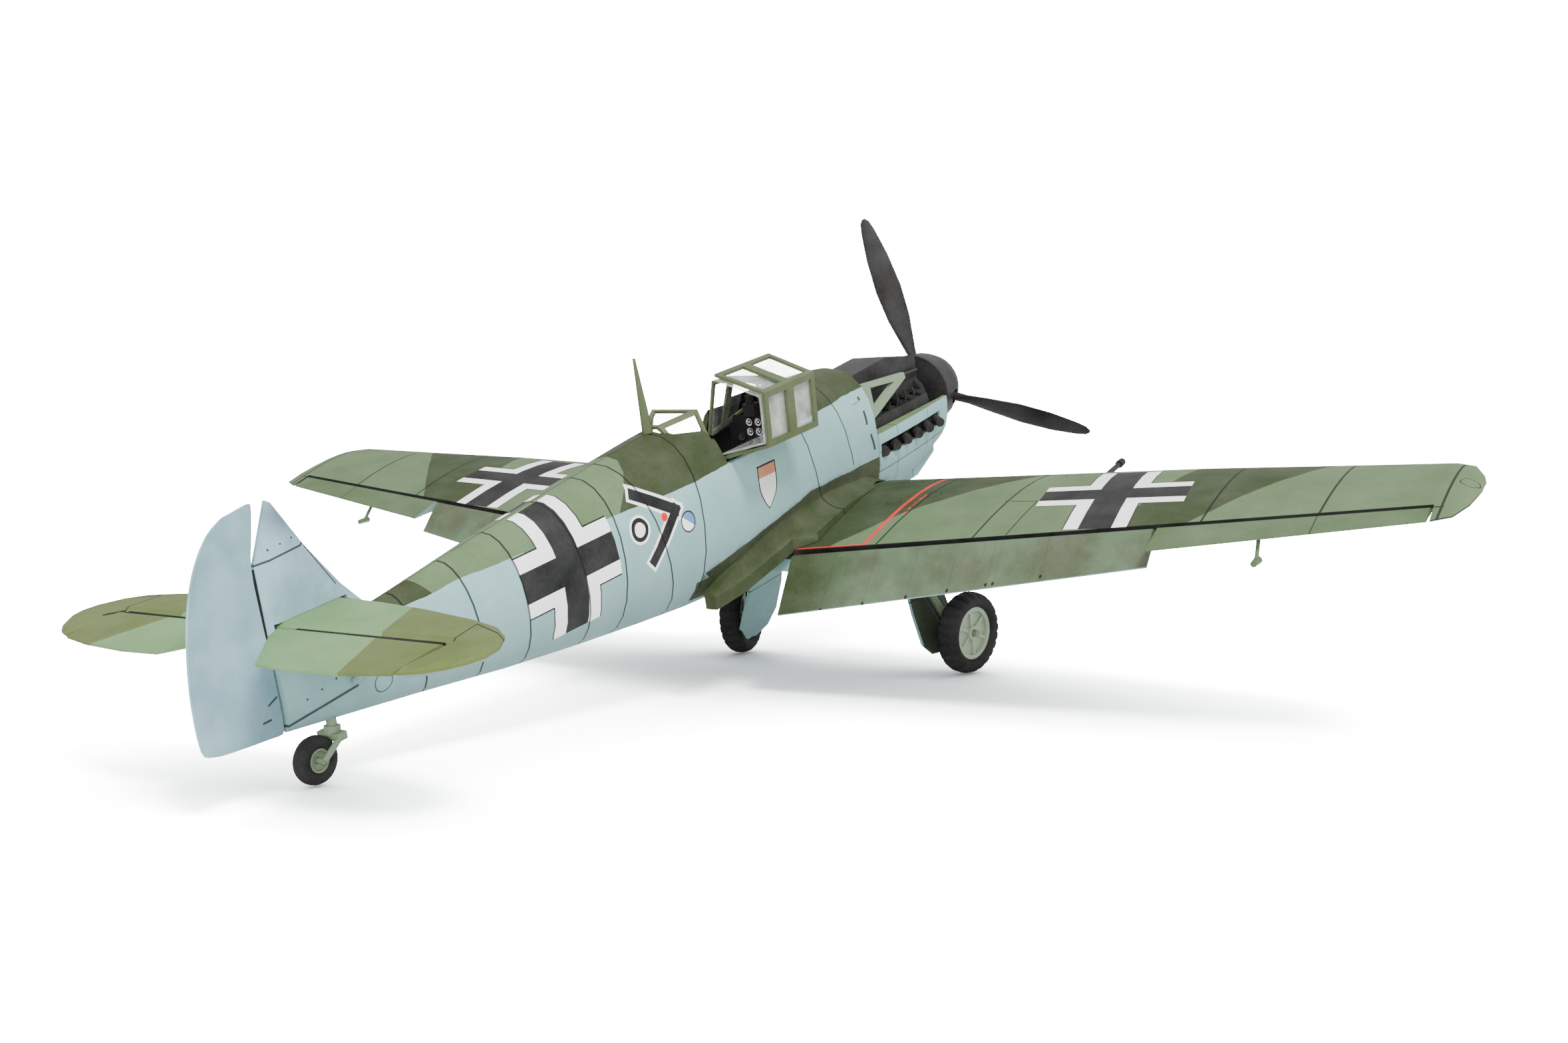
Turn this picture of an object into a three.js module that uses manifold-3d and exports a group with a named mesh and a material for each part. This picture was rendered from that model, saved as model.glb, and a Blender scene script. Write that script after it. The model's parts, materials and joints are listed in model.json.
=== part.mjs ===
// A 1:48 scale model of a single-engined low-wing propeller fighter, built as a plastic kit is.
// It stands on its wheels with the engine cowling off, the flaps lowered and the cockpit hood open.
// Airframe frame, in millimetres: +Y runs aft from the spinner tip, +Z is up, z = 0 is the
// propeller axis, and +X is the left (port) side. The exported group puts the wheels on z = 0.
import * as THREE from "three";
import { mergeVertices } from "three/addons/utils/BufferGeometryUtils.js";
import Module from "manifold-3d";

const wasm = await Module();
wasm.setup();

// Driving dimensions
const SPAN = 205.6;
const TAIL_SPAN = 62.5;
const BLADE_R = 32.3;
const GAP = 0.05; // between pieces that are glued together
const RUN = 0.35; // round a moving surface
const WALL = 0.9; // of the hollow mouldings
const DIHEDRAL = THREE.MathUtils.degToRad(6.2);
const INCIDENCE = 0.05; // rise per length, nose up
const INCIDENCE_Y = 55; // where it leaves the wing's height unchanged
const FLAP_DOWN = THREE.MathUtils.degToRad(30);
const FLAP_MAX = THREE.MathUtils.degToRad(40);
const RUDDER_TURN = THREE.MathUtils.degToRad(20);
const HOOD_OPEN = THREE.MathUtils.degToRad(92);
const FIREWALL_Y = 43.6;
const TAILPOST_Y = 162.6;
const HINGE_Y = 163.3; // rudder hinge line
const TAIL_Z = 8.1; // tailplane height
const WHEEL = { x: 22.1, y: 45.2, z: -32.8, r: 6.65, width: 4.0 };
const TOE_OUT = THREE.MathUtils.degToRad(11); // how far the main wheels' outer faces turn aft
const TAIL_WHEEL = { y: 159.6, z: -7.7, r: 2.75, width: 2.0 };

const paint = (color, roughness = 0.6, metalness = 0) =>
  new THREE.MeshStandardMaterial({ color, roughness, metalness });
const LOOK = {
  blue: paint(0x9fbcc0),
  green: paint(0x6f7f58),
  olive: paint(0x59613f),
  black: paint(0x2e2b2a, 0.5),
  grey: paint(0x8d9a86),
  tyre: paint(0x35302e, 0.8),
  interior: paint(0x23241f, 0.7),
  glass: paint(0xdfe6e4, 0.1),
};

// ---- Solids ----

// A closed triangle mesh, turned face out whichever way its faces were listed.
function closed(points, faces) {
  let volume = 0;
  const at = (i) => points[i];
  for (const [a, b, c] of faces) {
    const [p, q, r] = [at(a), at(b), at(c)];
    volume += p[0] * (q[1] * r[2] - q[2] * r[1]);
    volume += p[1] * (q[2] * r[0] - q[0] * r[2]);
    volume += p[2] * (q[0] * r[1] - q[1] * r[0]);
  }
  const outward = volume > 0 ? faces : faces.map(([a, b, c]) => [a, c, b]);
  const g = new THREE.BufferGeometry();
  g.setAttribute("position", new THREE.Float32BufferAttribute(points.flat(), 3));
  g.setIndex(outward.flat());
  return g;
}

// Joins rings of equally many points into a skin, and closes both ends with fans.
function loft(rings) {
  const n = rings[0].length;
  const points = rings.flat();
  const faces = [];
  for (let i = 0; i + 1 < rings.length; i++) {
    for (let j = 0; j < n; j++) {
      const a = i * n + j;
      const b = i * n + ((j + 1) % n);
      faces.push([a, b, a + n], [b, b + n, a + n]);
    }
  }
  for (const [ring, flip] of [[0, true], [rings.length - 1, false]]) {
    const centre = points.length;
    const mean = [0, 1, 2].map((k) => rings[ring].reduce((s, p) => s + p[k], 0) / n);
    points.push(mean);
    for (let j = 0; j < n; j++) {
      const [a, b] = [ring * n + j, ring * n + ((j + 1) % n)];
      faces.push(flip ? [centre, b, a] : [centre, a, b]);
    }
  }
  return closed(points, faces);
}

function solid(geometry) {
  const bare = geometry.clone();
  bare.deleteAttribute("normal");
  bare.deleteAttribute("uv");
  const merged = mergeVertices(bare, 1e-4);
  return new wasm.Manifold(
    new wasm.Mesh({
      numProp: 3,
      vertProperties: merged.attributes.position.array,
      triVerts: new Uint32Array(merged.index.array),
    }),
  );
}

function geometryOf(manifold) {
  const m = manifold.getMesh();
  const g = new THREE.BufferGeometry();
  g.setAttribute("position", new THREE.BufferAttribute(m.vertProperties, 3));
  g.setIndex(new THREE.BufferAttribute(m.triVerts, 1));
  return g;
}

const box = (x0, x1, y0, y1, z0, z1) =>
  new THREE.BoxGeometry(x1 - x0, y1 - y0, z1 - z0).translate(
    (x0 + x1) / 2, (y0 + y1) / 2, (z0 + z1) / 2,
  );

// A solid of revolution about an axis along +Y; profile points are [radius, y].
function turned(profile, segments = 24) {
  const g = new THREE.LatheGeometry(profile.map(([r, y]) => new THREE.Vector2(r, y)), segments);
  const flipped = solid(g);
  return flipped.volume() > 0 ? g : turned([...profile].reverse(), segments);
}

// A round rod between two points, with its own radius at each end.
function rod(from, to, r0, r1 = r0, segments = 12) {
  const [a, b] = [new THREE.Vector3(...from), new THREE.Vector3(...to)];
  const g = new THREE.CylinderGeometry(r1, r0, a.distanceTo(b), segments);
  const turn = new THREE.Quaternion().setFromUnitVectors(
    new THREE.Vector3(0, 1, 0), b.clone().sub(a).normalize(),
  );
  return g.applyQuaternion(turn).translate(...a.add(b).multiplyScalar(0.5).toArray());
}

// A flat plate whose outline is in the y-z plane, from x0 to x1.
function sidePlate(outline, x0, x1, holes = []) {
  const shape = new THREE.Shape(outline.map(([y, z]) => new THREE.Vector2(y, z)));
  shape.holes = holes.map((h) => new THREE.Path(h.map(([y, z]) => new THREE.Vector2(y, z))));
  const g = new THREE.ExtrudeGeometry(shape, { depth: x1 - x0, bevelEnabled: false });
  const swap = new THREE.Matrix4().set(0, 0, 1, x0, 1, 0, 0, 0, 0, 1, 0, 0, 0, 0, 0, 1);
  return g.applyMatrix4(swap);
}

const joined = (geometries) => geometries.map(solid).reduce((a, b) => a.add(b));
const cut = (from, tools) => tools.reduce((a, t) => a.subtract(t), from);
const largest = (m) => m.decompose().sort((a, b) => b.volume() - a.volume())[0];

// ---- Outlines ----

// Reads a table of [position, value, ...] rows at a position, by straight interpolation.
function along(table, at) {
  const last = table.length - 1;
  if (at <= table[0][0]) return table[0].slice(1);
  if (at >= table[last][0]) return table[last].slice(1);
  const i = table.findIndex((row) => row[0] > at);
  const t = (at - table[i - 1][0]) / (table[i][0] - table[i - 1][0]);
  return table[i].slice(1).map((v, k) => v * t + table[i - 1][k + 1] * (1 - t));
}

// Fuselage sections: y, half width, top z, bottom z. They are fuller ahead than behind.
const BODY = [
  [13.9, 6.9, 6.9, -9.2],
  [20, 7.5, 8.4, -11.0],
  [28, 8.1, 9.7, -12.6],
  [36, 8.45, 10.5, -13.4],
  [43.6, 8.6, 11.0, -13.7],
  [54, 8.8, 11.6, -13.9],
  [70, 8.9, 12.6, -13.9],
  [86, 8.6, 12.7, -13.8],
  [94, 8.2, 12.2, -13.2],
  [104, 7.5, 11.3, -12.1],
  [116, 6.4, 10.1, -10.6],
  [130, 4.9, 8.5, -8.6],
  [144, 3.2, 6.7, -6.2],
  [154, 2.0, 5.6, -4.6],
  [TAILPOST_Y, 1.15, 4.8, -3.2],
];
const FULLNESS = [[60, 2.45], [112, 2.08]];

function bodyRing(y, inset, segments = 24) {
  const [a, top, bottom] = along(BODY, y);
  const [mid, half] = [(top + bottom) / 2, (top - bottom) / 2];
  return Array.from({ length: segments }, (_, i) => {
    const t = (i / segments) * Math.PI * 2;
    const power = (v) => Math.sign(v) * Math.abs(v) ** (2 / along(FULLNESS, y)[0]);
    const x = (a - inset) * power(Math.cos(t));
    return [x, y, mid + (half - inset) * power(Math.sin(t))];
  });
}

function bodyVolume(y0, y1, inset) {
  const stations = BODY.map((row) => row[0]).filter((y) => y > y0 + 0.1 && y < y1 - 0.1);
  return solid(loft([y0, ...stations, y1].map((y) => bodyRing(y, inset))));
}

// Wing planform, in the wing's own frame: x runs out from the root along the dihedral.
const ROOT_X = 9.0;
const WING = { rootLe: 38, rootTe: 84.4, z: -12.0, tipX: (SPAN / 2 - ROOT_X) / Math.cos(DIHEDRAL) };
const RIB_X = 90.0; // where the rounded tip starts
const SPLIT_X = 55.7; // between flap and aileron
const PLAN = [
  // x, leading edge y, trailing edge y, thickness over chord
  [0, WING.rootLe, WING.rootTe, 0.15],
  [SPLIT_X, 45.3, 77.0, 0.132],
  [RIB_X, 51.4, 72.6, 0.11],
  [92.4, 53.0, 71.6, 0.1],
  [WING.tipX - 0.6, 56.6, 67.6, 0.075],
  [WING.tipX, 59.2, 62.6, 0.05],
];
const hingeY = (x) => THREE.MathUtils.mapLinear(x, 0, RIB_X, 75, 69.4);

// Half thickness of the section at a fraction of the chord, before camber.
const halfThick = (t, c) =>
  5 * t * (0.2969 * Math.sqrt(c) - 0.126 * c - 0.3516 * c ** 2 + 0.2843 * c ** 3 - 0.1036 * c ** 4);

// Height of the section's mean line at a fraction of the chord.
function meanZ(le, chord, c) {
  return 0.1 * c * (1 - c) * chord - INCIDENCE * (le + c * chord - INCIDENCE_Y);
}

// Half thickness of the wing at the hinge line, which is also the nose radius of what hinges.
function noseRadius(x) {
  const [le, te, thick] = along(PLAN, x);
  return halfThick(thick, (hingeY(x) - le) / (te - le)) * (te - le);
}

// How far ahead of the hinge line the fixed wing stops, at its skin and at its mean line.
function hingeGaps(x) {
  const nose = noseRadius(x);
  return [Math.sqrt((nose + RUN) ** 2 - nose ** 2), nose + RUN];
}

// One half of a wing section. side +1 is the upper half, -1 the lower. The fixed wing stops
// ahead of the hinge line where there is one, and runs to the trailing edge beyond it.
function wingRing(x, side, steps = 8) {
  const [le, te, thick] = along(PLAN, x);
  const chord = te - le;
  const hinged = x <= RIB_X - 0.02;
  const [skinGap, lineGap] = hinged ? hingeGaps(x) : [0, 0];
  const last = hinged ? hingeY(x) : te;
  const [skinEnd, lineEnd] = [(last - skinGap - le) / chord, (last - lineGap - le) / chord];
  const skin = [];
  const line = [];
  for (let i = 0; i <= steps; i++) {
    const s = (i / steps) ** 1.6;
    const [c, d] = [s * skinEnd, s * lineEnd];
    const h = Math.max(halfThick(thick, c) * chord, 0.09);
    skin.push([x, le + c * chord, meanZ(le, chord, c) + side * h]);
    line.unshift([x, le + d * chord, meanZ(le, chord, d)]);
  }
  return [...skin, ...line];
}

const WING_XS = [0, 18, 36, SPLIT_X, 72, RIB_X - 0.05, RIB_X, 92.4, WING.tipX - 0.6, WING.tipX];
function wingHalf(side) {
  return loft(WING_XS.map((x) => wingRing(x, side)));
}

// A hinged surface: a round nose on the hinge line, then the section's own skin to the tail.
function hingedRing(x, tailTrim = 0) {
  const [le, te, thick] = along(PLAN, x);
  const chord = te - le;
  const y0 = hingeY(x);
  const c0 = (y0 - le) / chord;
  const nose = halfThick(thick, c0) * chord;
  const mid = meanZ(le, chord, c0);
  const ring = [];
  for (let i = 0; i <= 6; i++) {
    const t = Math.PI / 2 + (i / 6) * Math.PI;
    ring.push([x, y0 + nose * 0.8 * Math.cos(t), mid + nose * Math.sin(t)]);
  }
  const rear = te - tailTrim;
  for (const s of [0.5, 0.97]) {
    const y = y0 + (rear - y0) * s;
    const c = (y - le) / chord;
    ring.push([x, y, meanZ(le, chord, c) - Math.max(halfThick(thick, c) * chord, 0.12)]);
  }
  for (const s of [0.97, 0.5]) {
    const y = y0 + (rear - y0) * s;
    const c = (y - le) / chord;
    ring.push([x, y, meanZ(le, chord, c) + Math.max(halfThick(thick, c) * chord, 0.12)]);
  }
  return ring;
}

function hingePoint(x) {
  const [le, te] = along(PLAN, x);
  const chord = te - le;
  const y = hingeY(x);
  return new THREE.Vector3(x, y, meanZ(le, chord, (y - le) / chord));
}

// ---- Scene graph ----

const root = new THREE.Group();
const airframe = new THREE.Group();
root.add(airframe);

function add(parent, name, shape, look) {
  const mesh = new THREE.Mesh(shape.isBufferGeometry ? shape : geometryOf(shape), look);
  mesh.name = name;
  parent.add(mesh);
  return mesh;
}

// A group whose own +X axis is a hinge line. Its contents are given in the parent's frame at
// neutral, and turn with it.
function pivot(parent, name, from, to, angle) {
  const group = new THREE.Group();
  group.name = name;
  const direction = to.clone().sub(from).normalize();
  group.position.copy(from);
  group.quaternion.setFromUnitVectors(new THREE.Vector3(1, 0, 0), direction);
  group.updateMatrix();
  const neutral = group.matrix.clone().invert();
  group.rotateX(angle);
  parent.add(group);
  const hold = new THREE.Group();
  hold.matrixAutoUpdate = false;
  hold.matrix.copy(neutral);
  group.add(hold);
  return hold;
}

// ---- Wings ----

function wingMatrix(side) {
  const m = new THREE.Matrix4().makeScale(side, 1, 1);
  m.multiply(new THREE.Matrix4().makeTranslation(ROOT_X, 0, WING.z));
  return m.multiply(new THREE.Matrix4().makeRotationY(-DIHEDRAL));
}

function placed(geometry, matrix) {
  const g = geometry.clone().applyMatrix4(matrix);
  const points = [];
  const position = g.getAttribute("position");
  for (let i = 0; i < position.count; i++) points.push([0, 1, 2].map((k) => position.getComponent(i, k)));
  const index = Array.from(g.index.array);
  const faces = [];
  for (let i = 0; i < index.length; i += 3) faces.push(index.slice(i, i + 3));
  return closed(points, faces);
}

const centreRing = (x, side) => wingRing(0, side).map(([, y, z]) => [x, y, z + WING.z]);

// The part of the wing under the fuselage, which ends at the flaps' hinge line.
function wingCentre(side) {
  const rear = solid(box(-20, 20, hingeY(0) + 0.2, 100, -40, 10));
  return solid(loft([-ROOT_X, ROOT_X].map((x) => centreRing(x, side)))).subtract(rear);
}

function wheelWell(side) {
  const round = rod([side * 37.5, 53.5, -30], [side * 37.5, 53.5, 0], 7.3, 7.3, 24);
  const slot = box(Math.min(side * 10.4, side * 34), Math.max(side * 10.4, side * 34), 46.4, 50.4, -30, 0);
  const limit = 1.2; // how far above the chord line the well reaches
  const roof = placed(box(-5, 80, 30, 90, -30, limit), wingMatrix(side));
  return solid(round).add(solid(slot)).intersect(solid(roof));
}

const lowerHalves = [1, -1].map((side) => solid(placed(wingHalf(-1), wingMatrix(side))));
const lowerWing = cut(
  lowerHalves[0].add(lowerHalves[1]).add(wingCentre(-1)),
  [wheelWell(1), wheelWell(-1)],
);
add(airframe, "lower_wing", lowerWing, LOOK.blue);

function upperWing(side) {
  const lift = new THREE.Matrix4().makeTranslation(0, 0, GAP);
  const trim = solid(box(Math.min(0, side * 9.1), Math.max(0, side * 9.1), 30, 95, -30, 20));
  return cut(solid(placed(wingHalf(1), wingMatrix(side).premultiply(lift))), [trim]);
}
const upperWings = [upperWing(1), upperWing(-1)];
add(airframe, "upper_wing_left", upperWings[0], LOOK.green);
add(airframe, "upper_wing_right", upperWings[1], LOOK.green);

function sideGroup(side) {
  const group = new THREE.Group();
  group.scale.x = side;
  airframe.add(group);
  return group;
}

function wingGroup(side) {
  const group = new THREE.Group();
  group.position.set(ROOT_X, 0, WING.z);
  group.rotation.y = -DIHEDRAL;
  sideGroup(side).add(group);
  return group;
}

function hingedSurface(parent, name, x0, x1, angle, look, extras = []) {
  const hold = pivot(parent, "pivot:" + name, hingePoint(x0), hingePoint(x1), angle);
  const rings = [x0, (x0 + x1) / 2, x1].map((x) => hingedRing(x));
  const body = extras.reduce((a, b) => a.add(solid(b)), solid(loft(rings)));
  add(hold, name, body, look);
  return hold;
}

for (const [side, word] of [[1, "left"], [-1, "right"]]) {
  const wing = wingGroup(side);
  hingedSurface(wing, "flap_" + word, 1.0, SPLIT_X - 0.3, -FLAP_DOWN, LOOK.green);
  // The mass balance hangs below the aileron on an arm that is part of it.
  const arm = rod([69.6, 72.2, -0.4], [69.6, 75.4, -3.6], 0.28, 0.28, 8);
  const bob = rod([69.6, 74.7, -3.8], [69.6, 76.8, -3.7], 0.55, 0.42, 10);
  hingedSurface(wing, "aileron_" + word, SPLIT_X + 0.3, RIB_X - 0.4, 0, LOOK.green, [arm, bob]);
    const barrel = joined([rod([38, 48, 0.9], [38, 35.4, 1.5], 0.42, 0.4), rod([38, 36.9, 1.43], [38, 35.4, 1.5], 0.6)]);
  add(wing, "cannon_barrel_" + word, barrel, LOOK.black);
}

// The barrels sit in holes in the leading edge.
const barrelHole = (side) =>
  solid(placed(rod([38, 49, 0.85], [38, 38.5, 1.35], 0.55, 0.55), wingMatrix(side)));
for (const name of ["lower_wing", "upper_wing_left", "upper_wing_right"]) {
  const mesh = airframe.getObjectByName(name);
  mesh.geometry = geometryOf(cut(solid(mesh.geometry), [barrelHole(1), barrelHole(-1)]));
}

// Everything that must keep clear of the wing is cut by this slightly thicker one.
function thickWing(margin) {
  const shifts = [[0, 0, margin], [0, 0, -margin], [0, margin, 0], [0, -margin, 0]];
  const whole = [1, -1].flatMap((side) =>
    [1, -1].map((half) => solid(placed(wingHalf(half), wingMatrix(side)))));
  const wing = [...whole, wingCentre(1), wingCentre(-1)].reduce((a, b) => a.add(b));
  return shifts.map((d) => wing.translate(d)).reduce((a, b) => a.add(b), wing);
}
const wingTool = thickWing(0.15);

// Pitot tube under the left wing, and the two radiators.
function radiator() {
  const ring = (y, x0, x1, drop) => [
    [x0, y, 1], [x1, y, 1], [x1, y, -drop + 0.5], [x1 - 0.7, y, -drop], [x0 + 0.7, y, -drop], [x0, y, -drop + 0.5],
  ];
  const shell = solid(loft([ring(55, 10.5, 23.5, 4.6), ring(59, 10.2, 23.8, 5.3), ring(70.6, 10.6, 23.4, 3.8)]));
  const duct = solid(loft([ring(54, 11.2, 22.8, 4.0), ring(56.5, 11.2, 22.8, 4.0)]));
  return shell.subtract(duct);
}
for (const [side, word] of [[1, "left"], [-1, "right"]]) {
  const moved = solid(placed(geometryOf(radiator()), wingMatrix(side)));
  add(airframe, "radiator_" + word, largest(moved.subtract(wingTool)), LOOK.blue);
}
const pitot = joined([
  rod([84, 66, -4.2], [84, 53, -4.2], 0.3, 0.26, 8),
  rod([84, 64, -4.2], [84, 65.4, 2], 0.3, 0.34, 8),
]);
add(
  airframe, "pitot_tube",
  largest(solid(placed(geometryOf(pitot), wingMatrix(1))).subtract(wingTool)), LOOK.blue,
);

// ---- Canopy volumes ----

const SILL_Z = 6.1;
const ARCH_Y = 70;
const REAR_FRAME_Y = 84.9;
// y, base half width, base z, top half width, top z, how much further aft the top is
const SCREEN = [
  [55.4, 3.5, 9.7, 1.9, 11.2, 0],
  [66.0, 5.9, 6.7, 3.2, 14.6, 0],
  [ARCH_Y - 0.25, 6.3, SILL_Z, 4.0, 14.7, 0.25],
];
const HOOD = [
  [ARCH_Y + 0.2, 6.2, SILL_Z, 4.0, 14.7, 1.9],
  [REAR_FRAME_Y - 0.2, 6.2, SILL_Z, 3.9, 14.5, 0.6],
];
const REAR = [
  [REAR_FRAME_Y + 0.2, 6.3, SILL_Z, 4.0, 14.0, 0.6],
  [91.6, 2.6, 11.4, 1.2, 12.9, 0],
];

function canopyRing([y, base, zBase, top, zTop, lean], inset, drop = 0) {
  const [t, z] = [top - inset * 0.75, zTop - inset];
  const flare = ((base - inset - t) / (z - zBase)) * drop;
  const [b, foot] = [base - inset + flare, zBase - drop];
  const yAt = (height) => y + (lean * (height - zBase)) / (zTop - zBase);
  return [[-b, yAt(foot), foot], [-t, yAt(z), z], [t, yAt(z), z], [b, yAt(foot), foot]];
}

function canopyVolume(rows, inset, { front = 0, rear = 0, drop = 0 } = {}) {
  const rings = rows.map((row) => canopyRing(row, inset, drop));
  const moved = (ring, by) => ring.map(([x, y, z]) => [x, y + by, z]);
  if (front) rings.unshift(moved(rings[0], -front));
  if (rear) rings.push(moved(rings[rings.length - 1], rear));
  return solid(loft(rings));
}

// A window through the wall between four corner points, leaving a border all round.
function windowTool(corners, border) {
  const p = corners.map((c) => new THREE.Vector3(...c));
  const normal = p[1].clone().sub(p[0]).cross(p[3].clone().sub(p[0])).normalize();
  const n = p.length;
  const shrunk = p.map((c, i) => {
    const back = p[(i + n - 1) % n].clone().sub(c).normalize();
    const ahead = p[(i + 1) % n].clone().sub(c).normalize();
    const angle = back.angleTo(ahead);
    return c.clone().add(back.add(ahead).normalize().multiplyScalar(border / Math.sin(angle / 2)));
  });
  const ring = (d) => shrunk.map((c) => c.clone().addScaledVector(normal, d).toArray());
  return solid(loft([ring(-1.6), ring(1.6)]));
}

const FRAME_T = 0.4;
function canopyFrame(rows, windows, openings) {
  const outer = canopyVolume(rows, 0);
  const inner = canopyVolume(rows, FRAME_T, { ...openings, drop: 0.6 });
  return cut(outer.subtract(inner), windows);
}
function canopyGlass(rows, openings) {
  const outer = canopyVolume(rows, FRAME_T + 0.28);
  const inner = canopyVolume(rows, FRAME_T + 0.58, { ...openings, drop: 0.6 });
  return outer.subtract(inner);
}

// The window corners of one bay between two rows of a canopy table.
function bayWindows(r0, r1, border, faces = ["left", "roof", "right"]) {
  const [a, b] = [canopyRing(r0, 0), canopyRing(r1, 0)];
  const quads = {
    right: [a[0], b[0], b[1], a[1]],
    roof: [a[1], b[1], b[2], a[2]],
    left: [a[2], b[2], b[3], a[3]],
  };
  return faces.map((f) => windowTool(quads[f], border));
}
const between = (r0, r1, t) => r0.map((v, i) => v + (r1[i] - v) * t);

const screenWindows = [
  ...bayWindows(SCREEN[0], SCREEN[1], 0.65),
  ...bayWindows(SCREEN[1], SCREEN[2], 0.6, ["left", "right"]),
];
const bodyTool = canopyVolume(REAR, -0.2, { front: 1, rear: 0.3, drop: 0.1 });
const screenTool = canopyVolume(SCREEN, -0.2, { front: 0.3, rear: 1, drop: 0.1 });
const screenFrame = canopyFrame(SCREEN, screenWindows, { rear: 1 });
add(airframe, "windscreen_frame", screenFrame, LOOK.olive);
add(airframe, "windscreen_glass", canopyGlass(SCREEN, { rear: 1 }), LOOK.glass);

const rearFrame = canopyFrame(REAR, bayWindows(REAR[0], REAR[1], 0.65), { front: 1 });
add(airframe, "rear_canopy_frame", rearFrame, LOOK.olive);
add(airframe, "rear_canopy_glass", canopyGlass(REAR, { front: 1 }), LOOK.glass);

const HOOD_HINGE_X = -6.4;
const hoodHold = pivot(
  airframe, "pivot:hood",
  new THREE.Vector3(HOOD_HINGE_X, ARCH_Y, SILL_Z + 0.1),
  new THREE.Vector3(HOOD_HINGE_X, REAR_FRAME_Y, SILL_Z + 0.1),
  -HOOD_OPEN,
);
const hoodMiddle = between(HOOD[0], HOOD[1], 0.5);
const hoodWindows = [...bayWindows(HOOD[0], hoodMiddle, 0.9), ...bayWindows(hoodMiddle, HOOD[1], 0.9)];
const hoodUp = new THREE.Matrix4().makeTranslation(0, 0, 0.25);
const hoodFrame = canopyFrame(HOOD, hoodWindows, { front: 1, rear: 1 });
add(hoodHold, "hood_frame", geometryOf(hoodFrame).applyMatrix4(hoodUp), LOOK.olive);
const hoodGlass = canopyGlass(HOOD, { front: 1, rear: 1 });
add(hoodHold, "hood_glass", geometryOf(hoodGlass).applyMatrix4(hoodUp), LOOK.glass);

// ---- Fuselage ----

const outerBody = bodyVolume(FIREWALL_Y, TAILPOST_Y, 0);
const innerBody = bodyVolume(FIREWALL_Y - 1, TAILPOST_Y - 3, WALL);
const cockpitHole = solid(box(-5.9, 5.9, ARCH_Y - 5, REAR_FRAME_Y + 1, 2, 30));
const hoodSpace = solid(box(-12, 12, ARCH_Y - 0.6, REAR_FRAME_Y + 0.6, SILL_Z - 0.15, 30));

// The fillet between fuselage side and wing: a concave wedge that grows towards the rear.
// y, wing surface z, height up the side, reach over the wing
const FILLET = [
  [FIREWALL_Y + 0.1, -8.6, 0.9, 1.2],
  [50, -7.2, 1.8, 2.6],
  [60, -6.9, 2.6, 3.4],
  [71.5, -8.2, 3.2, 3.8],
  [73.8, -8.8, 3.4, 0.8],
  [80, -9.8, 3.2, 0.6],
  [87, -10.8, 2.4, 0.5],
  [93.5, -11.2, 0.6, 0.3],
];
function filletRing([y, z, height, reach]) {
  const side = along(BODY, y)[0] - 0.35;
  const inner = side - 1.6;
  const ring = [[inner, y, z - 1.8], [inner, y, z + height]];
  for (let i = 0; i <= 5; i++) {
    const t = (i / 5) * (Math.PI / 2);
    ring.push([side + reach * (1 - Math.cos(t)), y, z + height * (1 - Math.sin(t)) + 0.06]);
  }
  ring.push([side + reach, y, z - 1.8]);
  return ring;
}
const FILLET_SOLID = solid(loft(FILLET.map(filletRing)));
const belowWing = solid(box(-30, 30, 40, hingeY(0) - 1.2, -40, WING.z + 0.5));

// Where the inner end of the flap turns.
function flapTool(side) {
  const [a, b] = [hingePoint(0.7), hingePoint(8)];
  const turns = [0, 0.25, 0.5, 0.75, 1].map((t) => {
    const body = loft([0.7, 8].map((x) => hingedRing(x, -0.4)));
    const spin = new THREE.Matrix4().makeTranslation(...a.toArray())
      .multiply(new THREE.Matrix4().makeRotationAxis(b.clone().sub(a).normalize(), -FLAP_MAX * t))
      .multiply(new THREE.Matrix4().makeTranslation(...a.clone().negate().toArray()));
    return solid(placed(body, wingMatrix(side).multiply(spin)));
  });
  return turns.reduce((p, q) => p.add(q));
}

function fuselageHalf(side) {
  const half = solid(side > 0 ? box(GAP / 2, 40, 0, 200, -40, 40) : box(-40, -GAP / 2, 0, 200, -40, 40));
  const fillet = solid(placed(geometryOf(FILLET_SOLID), new THREE.Matrix4().makeScale(side, 1, 1)));
  const skin = outerBody.subtract(innerBody).add(fillet).subtract(innerBody);
  const tools = [wingTool, cockpitHole, hoodSpace, bodyTool, screenTool, belowWing, flapTool(side)];
  return largest(cut(skin, tools).intersect(half));
}
const halves = { left: fuselageHalf(1), right: fuselageHalf(-1) };
add(airframe, "fuselage_left", halves.left, LOOK.blue);
add(airframe, "fuselage_right", halves.right, LOOK.blue);

const firewall = bodyVolume(FIREWALL_Y + 0.3, FIREWALL_Y + 1.3, WALL + GAP);
add(airframe, "firewall", largest(cut(firewall, [wingTool, belowWing])), LOOK.interior);

// ---- Cockpit ----

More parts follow.
